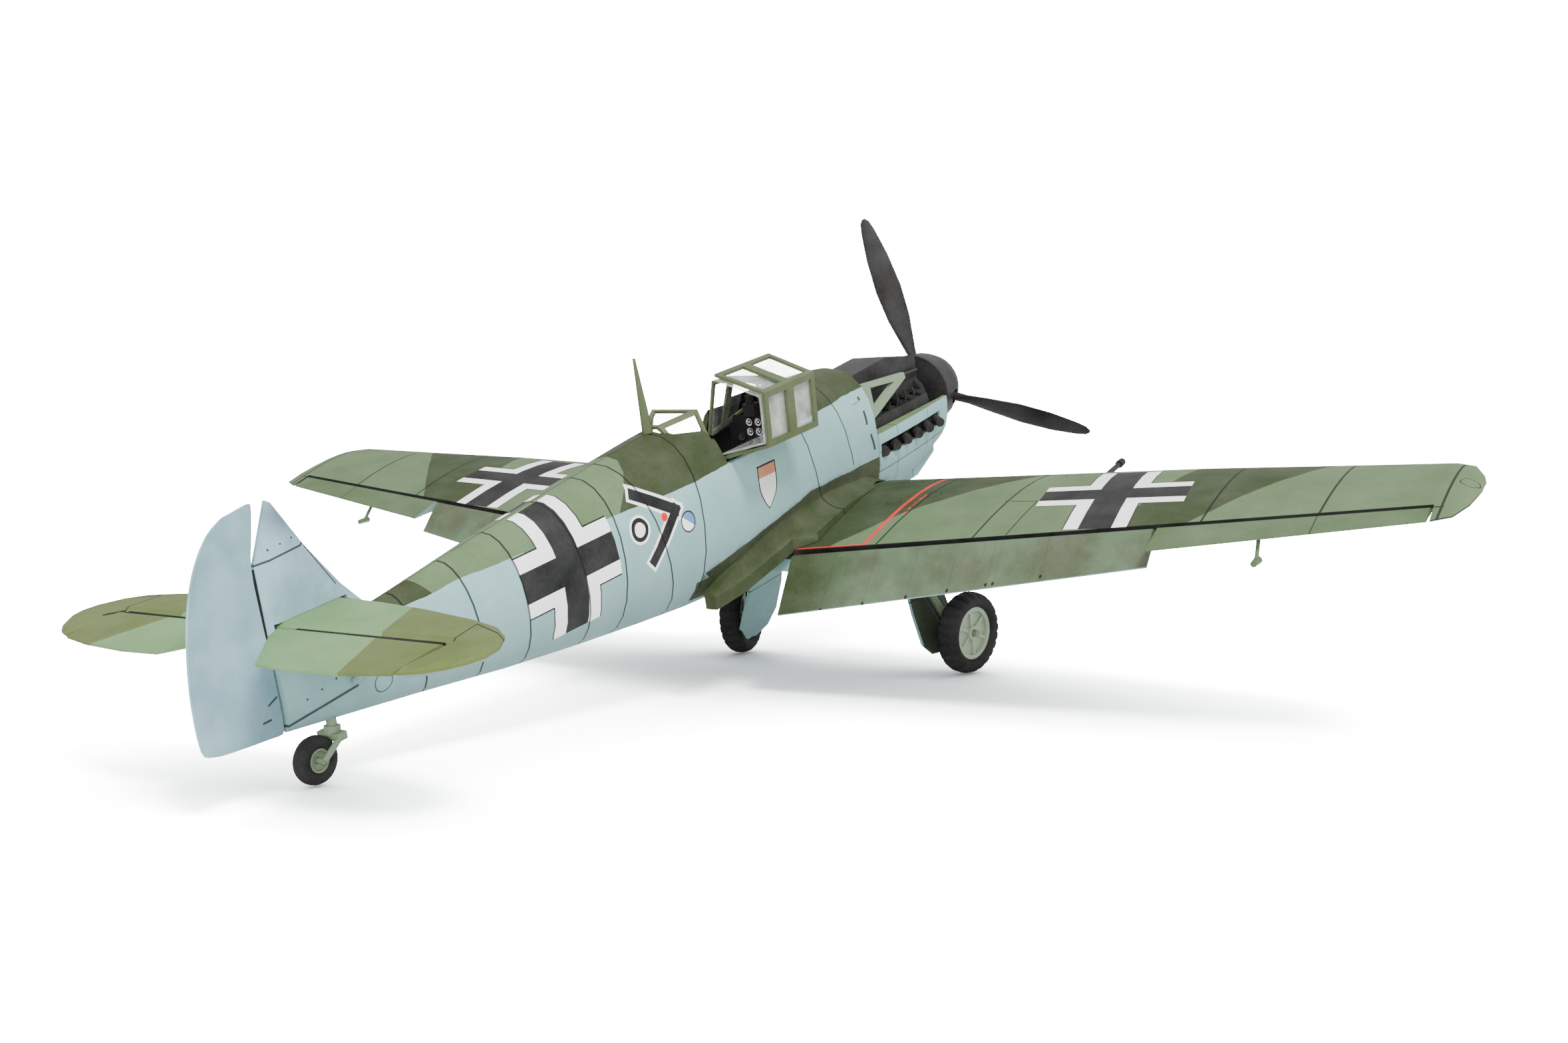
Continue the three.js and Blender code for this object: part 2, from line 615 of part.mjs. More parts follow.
add(airframe, "cockpit_floor", box(-6.4, 6.4, 60, 86, -4.2, -3.2), LOOK.interior);
const seat = joined([
  box(-2.9, 2.9, 76.0, 81.6, -2.6, -1.8),
  box(-2.9, 2.9, 81.0, 81.9, -2.6, 6.2),
  box(-3.0, -2.4, 76.4, 81.9, -2.6, 0.4),
  box(2.4, 3.0, 76.4, 81.9, -2.6, 0.4),
]);
add(airframe, "seat", seat, LOOK.interior);
const stick = joined([
  rod([0, 72.4, -3.1], [0, 73.4, 2.2], 0.26),
  rod([0, 73.3, 2.0], [0, 73.5, 3.6], 0.42),
]);
add(airframe, "control_stick", stick, LOOK.black);
const panel = joined([
  box(-4.4, 4.4, 65.6, 66.4, 1.2, 6.9),
  box(-3.6, 3.6, 65.6, 66.4, 6.8, 8.4),
  box(-2.2, 2.2, 65.8, 66.6, -2.9, 1.4),
]);
add(airframe, "instrument_panel", panel, LOOK.interior);
const sight = joined([box(-1.0, 1.0, 65.4, 67.2, 8.5, 10.4), rod([0, 66.3, 10], [0, 66.6, 11.7], 0.75, 0.6)]);
add(airframe, "gunsight", sight, LOOK.black);
add(airframe, "aerial_mast", rod([0, 92.6, 12.3], [0, 93.2, 22.9], 0.78, 0.2, 8), LOOK.olive);

// ---- Nose: lower cowling, engine, bearers, exhausts ----

const EXHAUST_Z = -3.25;
const COWL_RIM_Z = -0.3;
const COWL_Y0 = 14.6;
const cowlSkin = bodyVolume(COWL_Y0, FIREWALL_Y - 0.3, 0).subtract(bodyVolume(COWL_Y0 - 1, FIREWALL_Y + 1, 0.8));
const scoop = solid(loft([
  [[-3.4, COWL_Y0 - 0.2, -6], [3.4, COWL_Y0 - 0.2, -6], [3.2, COWL_Y0 - 0.2, -10.6], [-3.2, COWL_Y0 - 0.2, -10.6]],
  [[-4.2, 22, -6], [4.2, 22, -6], [3.6, 22, -12.9], [-3.6, 22, -12.9]],
  [[-4.2, 37, -6], [4.2, 37, -6], [3.0, 37, -13.9], [-3.0, 37, -13.9]],
]));
const scoopMouth = solid(box(-2.8, 2.8, COWL_Y0 - 2, COWL_Y0 + 2.6, -10.0, -7.6));
const slot = solid(box(-12, 12, 18.4, 42.6, EXHAUST_Z - 1.15, EXHAUST_Z + 1.15));
const aboveRim = solid(box(-12, 12, 10, 50, COWL_RIM_Z, 30));
const noseInside = bodyVolume(COWL_Y0 + 2.7, FIREWALL_Y + 1, 0.8);
// The ledge along the top of each side, which carries the removed upper cowling.
const ledges = [1, -1].map((s) =>
  solid(box(Math.min(s * 6.3, s * 8.2), Math.max(s * 6.3, s * 8.2), COWL_Y0 + 0.4, 43.2, COWL_RIM_Z - 0.8, COWL_RIM_Z)),
);
const insideBody = bodyVolume(COWL_Y0, FIREWALL_Y - 0.3, 0.3);
const cowl = cut(
  cowlSkin.add(scoop.subtract(noseInside)).add(ledges[0].add(ledges[1]).intersect(insideBody)),
  [slot, aboveRim, scoopMouth, wingTool],
);
add(airframe, "lower_cowling", largest(cowl), LOOK.blue);

const crankcase = sidePlate(
  [[18, -4], [18, 7.6], [28.6, 9.5], [42.6, 8.8], [42.6, -4]], -3.2, 3.2,
);
const banks = [1, -1].map((s) => {
  const ring = (y) => [[s * 1.2, y, 1.6], [s * 5.4, y, 1.2], [s * 6.0, y, -1.6], [s * 5.2, y, -6.2], [s * 1.2, y, -7.4]];
  return loft([ring(19), ring(42)]);
});
const ribs = [1, -1].flatMap((s) =>
  Array.from({ length: 6 }, (_, i) => rod([s * 3.2, 20.8 + i * 3.9, 2.0], [s * 5.4, 20.8 + i * 3.9, 1.5], 0.5, 0.5, 8)),
);
const gearbox = turned([[0, 15.4], [3.2, 15.4], [4.6, 17.4], [4.9, 19.4], [0, 19.4]]);
const shaftBore = solid(rod([0, 10, 0], [0, 18.2, 0], 1.03, 1.03, 20));
add(airframe, "engine", joined([crankcase, ...banks, ...ribs, gearbox]).subtract(shaftBore), LOOK.black);

for (const [side, word] of [[1, "left"], [-1, "right"]]) {
  const group = sideGroup(side);
  const stubs = Array.from({ length: 6 }, (_, i) => {
    const y = 20.4 + i * 4.05;
    return rod([7.0, y, EXHAUST_Z + 0.1], [9.0, y + 1.5, EXHAUST_Z - 0.25], 0.85, 0.8, 10);
  });
  const manifoldBar = box(6.35, 7.1, 18.9, 42.2, EXHAUST_Z - 0.9, EXHAUST_Z + 0.9);
  add(group, "exhaust_" + word, joined([manifoldBar, ...stubs]), LOOK.black);
  const bearer = sidePlate(
    [[FIREWALL_Y - 0.3, 8.0], [28.6, 6.9], [28.2, 5.9], [39.4, 1.9], [40.6, 1.6], [41.4, 2.4], [FIREWALL_Y - 0.3, 4.2]],
    5.7, 6.5,
    [[[40.6, 6.9], [32.2, 6.1], [39.9, 3.3]]],
  );
  add(group, "engine_bearer_" + word, bearer, LOOK.grey);
}

// ---- Propeller ----

const HUB_Y = 9.6;
const prop = pivot(airframe, "pivot:propeller", new THREE.Vector3(0, 0, 0), new THREE.Vector3(0, 1, 0), 0);
const spinnerSkin = turned([
  [1.3, 1.7], [2.6, 2.3], [4.2, 4.0], [5.5, 6.4], [6.4, 9.2], [6.8, 13.2],
  [6.1, 13.2], [5.7, 9.4], [4.8, 6.9], [3.5, 4.8], [2.0, 3.3], [1.3, 2.9], [1.3, 1.7],
], 28);
const BLADE_ANGLES = [0, 1, 2].map((i) => THREE.MathUtils.degToRad(15.5 - 120 * i));
const outward = (angle) => new THREE.Vector3(Math.sin(angle), 0, Math.cos(angle));
const bladeHoles = BLADE_ANGLES.map((angle) => {
  const tip = outward(angle).multiplyScalar(9);
  return solid(rod([0, HUB_Y, 0], [tip.x, HUB_Y, tip.z], 1.35, 1.35, 16));
});
add(prop, "spinner", cut(solid(spinnerSkin), bladeHoles), LOOK.black);
add(prop, "spinner_backplate", turned([[1.05, 13.3], [6.85, 13.3], [6.85, 13.9], [1.05, 13.9], [1.05, 13.3]], 32), LOOK.black);
add(prop, "propeller_shaft", turned([[0, 6.6], [2.2, 6.6], [2.2, 12.2], [0.95, 12.2], [0.95, 17.6], [0, 17.6]], 20), LOOK.black);

// Blade stations: radius, chord, thickness, twist in degrees
const BLADE = [
  [2.3, 1.7, 1.7, 50],
  [6.4, 1.7, 1.6, 50],
  [9.0, 2.6, 1.15, 46],
  [13.5, 4.1, 0.85, 38],
  [19.0, 4.7, 0.65, 30],
  [25.0, 4.0, 0.48, 24],
  [29.8, 2.6, 0.36, 20],
  [31.6, 1.7, 0.28, 19],
  [BLADE_R, 0.5, 0.2, 19],
];
function bladeGeometry() {
  return loft(BLADE.map(([r, chord, thick, twist]) => {
    const t = THREE.MathUtils.degToRad(twist);
    return Array.from({ length: 12 }, (_, i) => {
      const a = (i / 12) * Math.PI * 2;
      const [u, v] = [(chord / 2) * Math.cos(a), (thick / 2) * Math.sin(a)];
      return [u * Math.cos(t) - v * Math.sin(t), HUB_Y + u * Math.sin(t) + v * Math.cos(t), r];
    });
  }));
}
BLADE_ANGLES.forEach((angle, i) => {
  const blade = new THREE.Group();
  blade.rotation.y = angle;
  prop.add(blade);
  add(blade, "propeller_blade_" + (i + 1), bladeGeometry(), LOOK.black);
});

// ---- Tail ----

// Fin outline in the y-z plane; above the horn line it reaches forward of the rudder.
const FIN = [
  [147.5, 5.6], [151.4, 10.0], [155.3, 15.7], [158.4, 21.2], [159.0, 21.6],
  [162.2, 15.4], [162.4, 4.4], [TAILPOST_Y, -0.5], [152, 0],
];
function tapered(outline, thickness) {
  // A plate that is thickest amidships: three layers, the outer two drawn in.
  const centre = outline.reduce(([a, b], [y, z]) => [a + y / outline.length, b + z / outline.length], [0, 0]);
  const ring = (x, k) => outline.map(([y, z]) => [x, centre[0] + (y - centre[0]) * k, centre[1] + (z - centre[1]) * k]);
  return loft([ring(-thickness / 2, 0.8), ring(-thickness / 8, 1), ring(thickness / 8, 1), ring(thickness / 2, 0.8)]);
}
const bodyPlus = bodyVolume(FIREWALL_Y, TAILPOST_Y + 1, -0.12);
const stabOutline = [
  // x, y: left half of the fixed tailplane
  [0.0, 151.7], [8, 152.3], [15, 153.2], [23, 154.8], [27, 156.0], [29.4, 157.8], [TAIL_SPAN / 2 - 0.3, 160.4],
  [TAIL_SPAN / 2, 162.6], [30.6, 164.6], [29.2, 166.4], [27.4, 167.8], [25.3, 168.6], [25.3, 160.9], [0.0, 161.1],
];
// A lens-shaped slab over an outline in the x-y plane, thin at its rim.
function flatSurface(outline, thickness, rim = 0.3) {
  const shape = new THREE.Shape(outline.map(([x, y]) => new THREE.Vector2(x, y)));
  return new THREE.ExtrudeGeometry(shape, {
    depth: rim, bevelEnabled: true, bevelThickness: (thickness - rim) / 2, bevelSize: 0.55,
    bevelOffset: -0.55, bevelSegments: 1,
  }).translate(0, 0, TAIL_Z - rim / 2);
}
const finBody = solid(tapered(FIN, 1.7)).subtract(bodyPlus);
const fin = largest(finBody).subtract(solid(box(-1.5, 1.5, 151.4, 161.6, TAIL_Z - 0.62, TAIL_Z + 0.62)));
add(airframe, "fin", fin, LOOK.blue);

for (const [side, word] of [[1, "left"], [-1, "right"]]) {
  const group = sideGroup(side);
  const stab = cut(solid(flatSurface(stabOutline, 1.15)), [solid(box(-1, 0.12, 140, 175, 0, 20))]);
  add(group, "tailplane_" + word, largest(stab), LOOK.green);
  const hold = pivot(
    group, "pivot:elevator_" + word,
    new THREE.Vector3(1.6, 162.1, TAIL_Z), new THREE.Vector3(24.9, 162.1, TAIL_Z), 0,
  );
  const elevator = elevatorGeometry();
  add(hold, "elevator_" + word, elevator, LOOK.green);
  const strut = rod([1.35, 153.6, -1.0], [13.6, 156.4, TAIL_Z - 0.95], 0.42, 0.42, 8);
  add(group, "tail_strut_" + word, largest(solid(strut).subtract(bodyPlus)), LOOK.blue);
}

function elevatorGeometry() {
  const ring = (x, tail) => {
    const [r, y] = [0.5, 162.1];
    const out = [];
    for (let i = 0; i <= 5; i++) {
      const t = Math.PI / 2 + (i / 5) * Math.PI;
      out.push([x, y + r * Math.cos(t), TAIL_Z + r * Math.sin(t)]);
    }
    out.push([x, tail, TAIL_Z - 0.14], [x, tail, TAIL_Z + 0.14]);
    return out;
  };
  // x, trailing edge y: the inner edge slopes out, to clear the rudder
  const tails = [[1.7, 163.4], [7.6, 170.3], [13, 170.6], [20, 170.0], [24.9, 168.9]];
  return loft(tails.map(([x, y]) => ring(x, y)));
}

const rudderHold = pivot(
  airframe, "pivot:rudder", new THREE.Vector3(0, HINGE_Y, 0), new THREE.Vector3(0, HINGE_Y, 1), RUDDER_TURN,
);
// Rudder stations: z, front y, chord end y, half thickness
// Rows between the given ones, on a smooth curve through them.
function smoothed(rows, steps) {
  const curveThrough = (i, k, t) => {
    const [a, b, c, d] = [-1, 0, 1, 2].map((o) => rows[Math.min(Math.max(i + o, 0), rows.length - 1)][k]);
    return 0.5 * (2 * b + (c - a) * t + (2 * a - 5 * b + 4 * c - d) * t * t + (3 * b - a - 3 * c + d) * t ** 3);
  };
  const between = rows.slice(1).flatMap((_, i) =>
    Array.from({ length: steps }, (__, n) => rows[0].map((___, k) => curveThrough(i, k, n / steps))));
  return [...between, rows[rows.length - 1]];
}
const RUDDER = [
  [-3.1, HINGE_Y, 163.9, 0.3],
  [-2.6, HINGE_Y, 166.0, 0.5],
  [-1.4, HINGE_Y, 171.2, 0.65],
  [-0.2, HINGE_Y, 175.6, 0.7],
  [1.2, HINGE_Y, 177.3, 0.75],
  [6.0, HINGE_Y, 177.2, 0.75],
  [11.0, HINGE_Y, 176.0, 0.72],
  [15.2, HINGE_Y - 0.3, 174.1, 0.65],
  [18.4, HINGE_Y - 1.9, 171.6, 0.5],
  [20.6, HINGE_Y - 3.0, 168.4, 0.38],
  [21.5, HINGE_Y - 3.3, 165.2, 0.3],
];
const rudder = loft(smoothed(RUDDER, 3).map(([z, front, tail, half]) => {
  const out = [];
  for (let i = 0; i <= 6; i++) {
    const t = Math.PI / 2 + (i / 6) * Math.PI;
    out.push([half * Math.sin(t), front + half * 0.55 * Math.cos(t), z]);
  }
  const mid = front + (tail - front) * 0.45;
  out.push([-half * 0.72, mid, z], [-0.12, tail, z], [0.12, tail, z], [half * 0.72, mid, z]);
  return out;
}));
add(rudderHold, "rudder", rudder, LOOK.blue);

// ---- Undercarriage ----

// Spoked wheel hub, from the axle out; local axis along x.
function hubGeometry(r, width, spokes) {
  const rim = solid(turned([[r * 0.84, -width / 2], [r, -width / 2], [r, width / 2], [r * 0.84, width / 2], [r * 0.84, -width / 2]], 24));
  const web = solid(turned([[r * 0.14, -width * 0.22], [r * 0.86, -width * 0.22], [r * 0.86, width * 0.22], [r * 0.14, width * 0.22], [r * 0.14, -width * 0.22]], 20));
  const boss = solid(turned([[r * 0.14, -width / 2], [r * 0.28, -width / 2], [r * 0.28, width / 2], [r * 0.14, width / 2], [r * 0.14, -width / 2]], 14));
  const arms = Array.from({ length: spokes }, (_, i) =>
    solid(box(-r * 0.06, r * 0.06, -width * 0.4, width * 0.4, r * 0.24, r * 0.88).rotateY((i / spokes) * Math.PI * 2)));
  return geometryOf([web, boss, ...arms].reduce((a, b) => a.add(b), rim)).rotateZ(Math.PI / 2);
}

function tyreGeometry(r, hub, width) {
  const w = width / 2;
  const crown = Array.from({ length: 7 }, (_, i) => {
    const t = -Math.PI / 2 + (i / 6) * Math.PI;
    return [hub + (r - hub) * (0.35 + 0.65 * Math.cos(t)), w * Math.sin(t)];
  });
  const profile = [[hub, -w * 0.8], ...crown, [hub, w * 0.8], [hub, -w * 0.8]];
  return turned(profile, 28).rotateZ(Math.PI / 2);
}

for (const [side, word] of [[1, "left"], [-1, "right"]]) {
  const group = sideGroup(side);
  const top = [13.2, 50.2, -14.6];
  const onAxle = (d) => [WHEEL.x + d * Math.cos(TOE_OUT), WHEEL.y + d * Math.sin(TOE_OUT), WHEEL.z];
  const onWheel = (geometry) => geometry.rotateZ(TOE_OUT).translate(WHEEL.x, WHEEL.y, WHEEL.z);
  const foot = onAxle(-3.1);
  const knee = top.map((v, i) => v * 0.42 + foot[i] * 0.58);
  const leg = joined([
    rod(top, knee, 1.0, 0.95, 14),
    rod(knee, foot, 0.62, 0.62, 12),
    rod(onAxle(-3.7), onAxle(1.9), 0.55, 0.55, 14),
    onWheel(box(-3.8, -2.5, -1.0, 1.0, -1.0, 2.2)),
  ]).subtract(wingTool);
  add(group, "gear_leg_" + word, largest(leg), LOOK.grey);
  const door = sidePlate(
    [[49.2, -16.0], [43.4, -17.0], [40.8, -28.0], [41.2, -33.4], [43.4, -36.0], [47.0, -36.8],
      [50.6, -36.0], [52.6, -33.6], [52.0, -28.6], [50.4, -22.4]], 0, 0.5,
  );
  // The door lies along the leg, on its inner side.
  const lean = Math.atan2(foot[0] - top[0], top[2] - foot[2]);
  door.translate(0, 0, -top[2]).rotateY(-lean).translate(top[0] - 1.75, 0, top[2]);
  add(group, "gear_door_" + word, solid(door).subtract(wingTool).subtract(leg), LOOK.blue);
  const wheel = pivot(
    group, "pivot:wheel_" + word,
    new THREE.Vector3(...onAxle(0)), new THREE.Vector3(...onAxle(1)), 0,
  );
  const bore = solid(rod(onAxle(-9), onAxle(9), 0.63, 0.63, 20));
  const hub = solid(onWheel(hubGeometry(4.3, 2.4, 6))).subtract(bore);
  add(wheel, "wheel_hub_" + word, hub, LOOK.grey);
  add(wheel, "tyre_" + word, onWheel(tyreGeometry(WHEEL.r, 4.35, WHEEL.width)), LOOK.tyre);
}

// Tail wheel: a swivelling fork with one arm each side, and the wheel in it.
const swivelTop = new THREE.Vector3(0, 156.4, -6.0);
const swivel = pivot(
  airframe, "pivot:tail_fork", new THREE.Vector3(0, swivelTop.y, 0), new THREE.Vector3(0, swivelTop.y, 1), 0,
);
const axle = [TAIL_WHEEL.y, TAIL_WHEEL.z];
const fork = joined([
  rod([0, swivelTop.y, -3.0], [0, swivelTop.y, -5.4], 0.6, 0.6, 12),
  rod([0, swivelTop.y, -4.9], [0, swivelTop.y + 0.2, -5.9], 0.95, 0.95, 12),
  box(-1.7, 1.7, 156.0, 157.3, -6.4, -5.5),
  ...[1, -1].map((s) => rod([s * 1.45, 156.7, -5.9], [s * 1.45, ...axle], 0.36, 0.36, 10)),
  rod([-1.5, ...axle], [1.5, ...axle], 0.34, 0.34, 12),
]);
const socketTool = solid(rod([0, swivelTop.y, -1.5], [0, swivelTop.y, -8], 0.69, 0.69, 16));
add(swivel, "tail_fork", fork, LOOK.grey);
for (const word of ["left", "right"]) {
  const mesh = airframe.getObjectByName("fuselage_" + word);
  mesh.geometry = geometryOf(solid(mesh.geometry).subtract(socketTool));
}
const tailWheel = pivot(
  swivel, "pivot:tail_wheel", new THREE.Vector3(0, ...axle), new THREE.Vector3(1, ...axle), 0,
);
const tailBore = solid(rod([-5, ...axle], [5, ...axle], 0.4, 0.4, 20));
const tailHub = solid(hubGeometry(1.35, 1.5, 0).translate(0, ...axle)).subtract(tailBore);
add(tailWheel, "tail_wheel_hub", tailHub, LOOK.grey);
add(tailWheel, "tail_tyre", tyreGeometry(TAIL_WHEEL.r, 1.4, TAIL_WHEEL.width).translate(0, ...axle), LOOK.tyre);

// ---- Stand the model on its three wheels ----

const run = TAIL_WHEEL.y - WHEEL.y;
const rise = TAIL_WHEEL.z - WHEEL.z;
const pitch = Math.atan2(rise, run) + Math.asin((WHEEL.r - TAIL_WHEEL.r) / Math.hypot(run, rise));
root.rotation.x = -pitch;
const contact = new THREE.Vector3(0, WHEEL.y, WHEEL.z).applyEuler(root.rotation);
root.position.set(0, -contact.y, WHEEL.r - contact.z);
const model = new THREE.Group();
model.add(root);
model.updateMatrixWorld(true);
root.position.y -= new THREE.Box3().setFromObject(root, true).getCenter(new THREE.Vector3()).y;

export default model;
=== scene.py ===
"""Looks for the 1:48 fighter kit model: paint, markings, panel lines and small moulded detail.

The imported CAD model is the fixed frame. Its solids get smooth-shaded skins with node
materials, and the small pieces that a solid model leaves out are built here.
Places and lengths are millimetres in the airframe frame, up to the section on camera, light
and floor: +Y aft, +Z up from the propeller's axis, +X to the left wing tip. In paints, out is
the distance from the centre line, the same on both sides.
"""
import json
import math

import bmesh
import bpy
from mathutils import Matrix, Vector

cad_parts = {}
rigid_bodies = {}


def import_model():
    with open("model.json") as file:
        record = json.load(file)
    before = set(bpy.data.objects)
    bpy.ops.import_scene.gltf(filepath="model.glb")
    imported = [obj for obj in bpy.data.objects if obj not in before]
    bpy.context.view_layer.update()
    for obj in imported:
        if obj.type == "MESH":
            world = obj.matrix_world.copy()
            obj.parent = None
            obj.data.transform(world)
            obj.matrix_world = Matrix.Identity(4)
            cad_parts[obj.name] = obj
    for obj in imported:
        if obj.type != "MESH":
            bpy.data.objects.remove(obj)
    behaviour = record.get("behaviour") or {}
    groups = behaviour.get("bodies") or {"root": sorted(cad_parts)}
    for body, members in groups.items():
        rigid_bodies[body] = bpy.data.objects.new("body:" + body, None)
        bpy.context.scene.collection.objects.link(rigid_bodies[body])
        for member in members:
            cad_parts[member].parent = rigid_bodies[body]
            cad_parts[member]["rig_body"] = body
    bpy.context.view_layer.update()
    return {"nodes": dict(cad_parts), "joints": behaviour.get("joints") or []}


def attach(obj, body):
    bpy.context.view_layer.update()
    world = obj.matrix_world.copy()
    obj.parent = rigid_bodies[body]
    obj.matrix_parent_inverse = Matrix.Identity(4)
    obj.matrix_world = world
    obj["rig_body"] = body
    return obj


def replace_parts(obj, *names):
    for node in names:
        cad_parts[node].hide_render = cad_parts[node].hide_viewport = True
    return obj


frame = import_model()

JOINTS = {j["name"]: j for j in frame["joints"]}
NODES = frame["nodes"]
PROP_AXIS = Vector(JOINTS["propeller_spin"]["axis"])
PITCH = math.atan2(-PROP_AXIS.z, PROP_AXIS.y)
MM = 0.001
# Airframe millimetres to the frame's metres.
AIRFRAME = (
    Matrix.Translation(JOINTS["propeller_spin"]["pos_m"])
    @ Matrix.Rotation(-PITCH, 4, "X")
    @ Matrix.Scale(MM, 4)
)

UPRIGHT = AIRFRAME.to_3x3().normalized() @ Vector((0, 0, 1))
SIDE_WORD = {1: "left", -1: "right"}

# ---------------------------------------------------------------- shader arithmetic

BUMP_STRENGTH = 0.25
BUMP_DEPTH = 0.05
LINE_DEPTH = 1.6

def srgb(r, g, b):
    """A display colour, 0 to 255 each, as the linear colour that nodes take."""
    def linear(c):
        c = c / 255
        return c / 12.92 if c <= 0.04045 else ((c + 0.055) / 1.055) ** 2.4
    return (linear(r), linear(g), linear(b), 1.0)


class Value:
    """A number inside a material. Arithmetic on it adds Math nodes to the material."""

    def __init__(self, net, socket):
        self.net = net
        self.socket = socket

    def __add__(self, other):
        return self.net.math("ADD", self, other)

    def __radd__(self, other):
        return self.net.math("ADD", self, other)

    def __sub__(self, other):
        return self.net.math("SUBTRACT", self, other)

    def __rsub__(self, other):
        return self.net.math("SUBTRACT", other, self)

    def __mul__(self, other):
        return self.net.math("MULTIPLY", self, other)

    def __gt__(self, other):
        return self.net.math("GREATER_THAN", self, other)

    def __lt__(self, other):
        return self.net.math("LESS_THAN", self, other)

    def __and__(self, other):
        return self.net.math("MULTIPLY", self, other)

    def __or__(self, other):
        return self.net.math("MAXIMUM", self, other)


class Net:
    """One node material, with helpers that read like the drawing of what is painted."""

    def __init__(self, name):
        self.material = bpy.data.materials.new(name)
        self.material.use_nodes = True
        self.tree = self.material.node_tree
        self.bsdf = self.tree.nodes["Principled BSDF"]
        self.coordinate = self.tree.nodes.new("ShaderNodeTexCoord")
        mapping = self.tree.nodes.new("ShaderNodeMapping")
        mapping.vector_type = "TEXTURE"
        location, rotation, scale = AIRFRAME.decompose()
        mapping.inputs["Location"].default_value = location
        mapping.inputs["Rotation"].default_value = rotation.to_euler("XYZ")
        mapping.inputs["Scale"].default_value = scale
        self.tree.links.new(self.coordinate.outputs["Object"], mapping.inputs["Vector"])
        self.vector = mapping.outputs["Vector"]
        self.x, self.y, self.z = self.split(self.vector)

    def split(self, vector):
        node = self.tree.nodes.new("ShaderNodeSeparateXYZ")
        self.tree.links.new(vector, node.inputs[0])
        return [Value(self, output) for output in node.outputs]

    def put(self, target, value):
        """Links a value or a socket to an input, or sets the input to a plain number."""
        if isinstance(value, Value):
            self.tree.links.new(value.socket, target)
        elif hasattr(value, "is_linked"):
            self.tree.links.new(value, target)
        else:
            target.default_value = value

    def math(self, operation, *arguments):
        node = self.tree.nodes.new("ShaderNodeMath")
        node.operation = operation
        for socket, value in zip(node.inputs, arguments):
            self.put(socket, value)
        return Value(self, node.outputs[0])

    def abs(self, value):
        return self.math("ABSOLUTE", value)

    def hypot(self, a, b):
        return self.math("SQRT", a * a + b * b)

    def normal_up(self):
        """How far the surface faces up in the airframe frame, -1 to 1."""
        dot = self.tree.nodes.new("ShaderNodeVectorMath")
        dot.operation = "DOT_PRODUCT"
        self.tree.links.new(self.coordinate.outputs["Normal"], dot.inputs[0])
        dot.inputs[1].default_value = UPRIGHT
        return Value(self, dot.outputs["Value"])

    def facing(self):
        """How far the surface faces left, aft and up in the part's frame, -1 to 1 each."""
        return self.split(self.coordinate.outputs["Normal"])

    def facing_out(self):
        """How far the surface faces away from the centre plane, -1 to 1."""
        left, _, _ = self.facing()
        return self.math("SIGN", self.x) * left

    def facing_front(self):
        """1 where the surface faces forward, as the hidden nose of a control surface does."""
        _, aft, _ = self.facing()
        return aft < -0.45

    def facing_in(self):
        """1 on the inner side of a shell that runs round the airframe's long axis."""
        inner_side = self.facing_out() < -0.12
        inner_floor = (self.normal_up() > 0.3) & (self.z < -5.0) & (self.abs(self.x) < 5.0)
        inner_roof = (self.normal_up() < -0.3) & (self.z > 5.0)
        return inner_side | inner_floor | inner_roof

    def noise(self, scale, detail=3.0, rough=0.5):
        """Cloudy noise, 0 to 1, with features about 1 / scale millimetres across."""
        node = self.tree.nodes.new("ShaderNodeTexNoise")
        node.inputs["Scale"].default_value = scale
        node.inputs["Detail"].default_value = detail
        node.inputs["Roughness"].default_value = rough
        self.tree.links.new(self.vector, node.inputs["Vector"])
        return Value(self, node.outputs["Fac"])

    def wander(self, scale, reach):
        """A slow wave, reach wide in all, that makes a sprayed border uneven."""
        return (self.noise(scale, 2.0) - 0.5) * reach

    def ramp(self, value, low, high):
        """0 below low, 1 above high."""
        node = self.tree.nodes.new("ShaderNodeMapRange")
        self.put(node.inputs["Value"], value)
        node.inputs["From Min"].default_value = low
        node.inputs["From Max"].default_value = high
        return Value(self, node.outputs["Result"])

    def mix(self, share, first, second):
        """The first colour where share is 0 and the second where it is 1."""
        node = self.tree.nodes.new("ShaderNodeMix")
        node.data_type = "RGBA"
        self.put(node.inputs["Factor"], share)
        self.put(node.inputs[6], first)
        self.put(node.inputs[7], second)
        return node.outputs[2]

    def line(self, distance, half_width, soft=0.05):
        """1 within half_width of where distance is 0."""
        return self.ramp(self.abs(distance), half_width + soft, half_width - soft * 0.4)

    def between(self, value, low, high):
        return (value > low) & (value < high)

    def stroke(self, u, v, a, b, half_width, soft=0.05):
        """A straight line from a to b in the u-v plane."""
        (ua, va), (ub, vb) = a, b
        length = math.hypot(ub - ua, vb - va)
        du, dv = (ub - ua) / length, (vb - va) / length
        across = (u - ua) * -dv + (v - va) * du
        onward = (u - ua) * du + (v - va) * dv
        along = self.between(onward, -half_width, length + half_width)
        return self.line(across, half_width, soft) & along

    def strokes(self, u, v, ends, half_width):
        return any_of([self.stroke(u, v, a, b, half_width) for a, b in ends])

    def away(self, u, v, centre):
        """Distance from a point in the u-v plane."""
        return self.hypot(u - centre[0], v - centre[1])

    def ring(self, u, v, centre, radius, half_width):
        return self.line(self.away(u, v, centre) - radius, half_width)

    def side_of(self, u, v, a, b):
        """1 to the left of the line from a to b."""
        (ua, va), (ub, vb) = a, b
        return ((v - va) * (ub - ua) - (u - ua) * (vb - va)) > 0.0

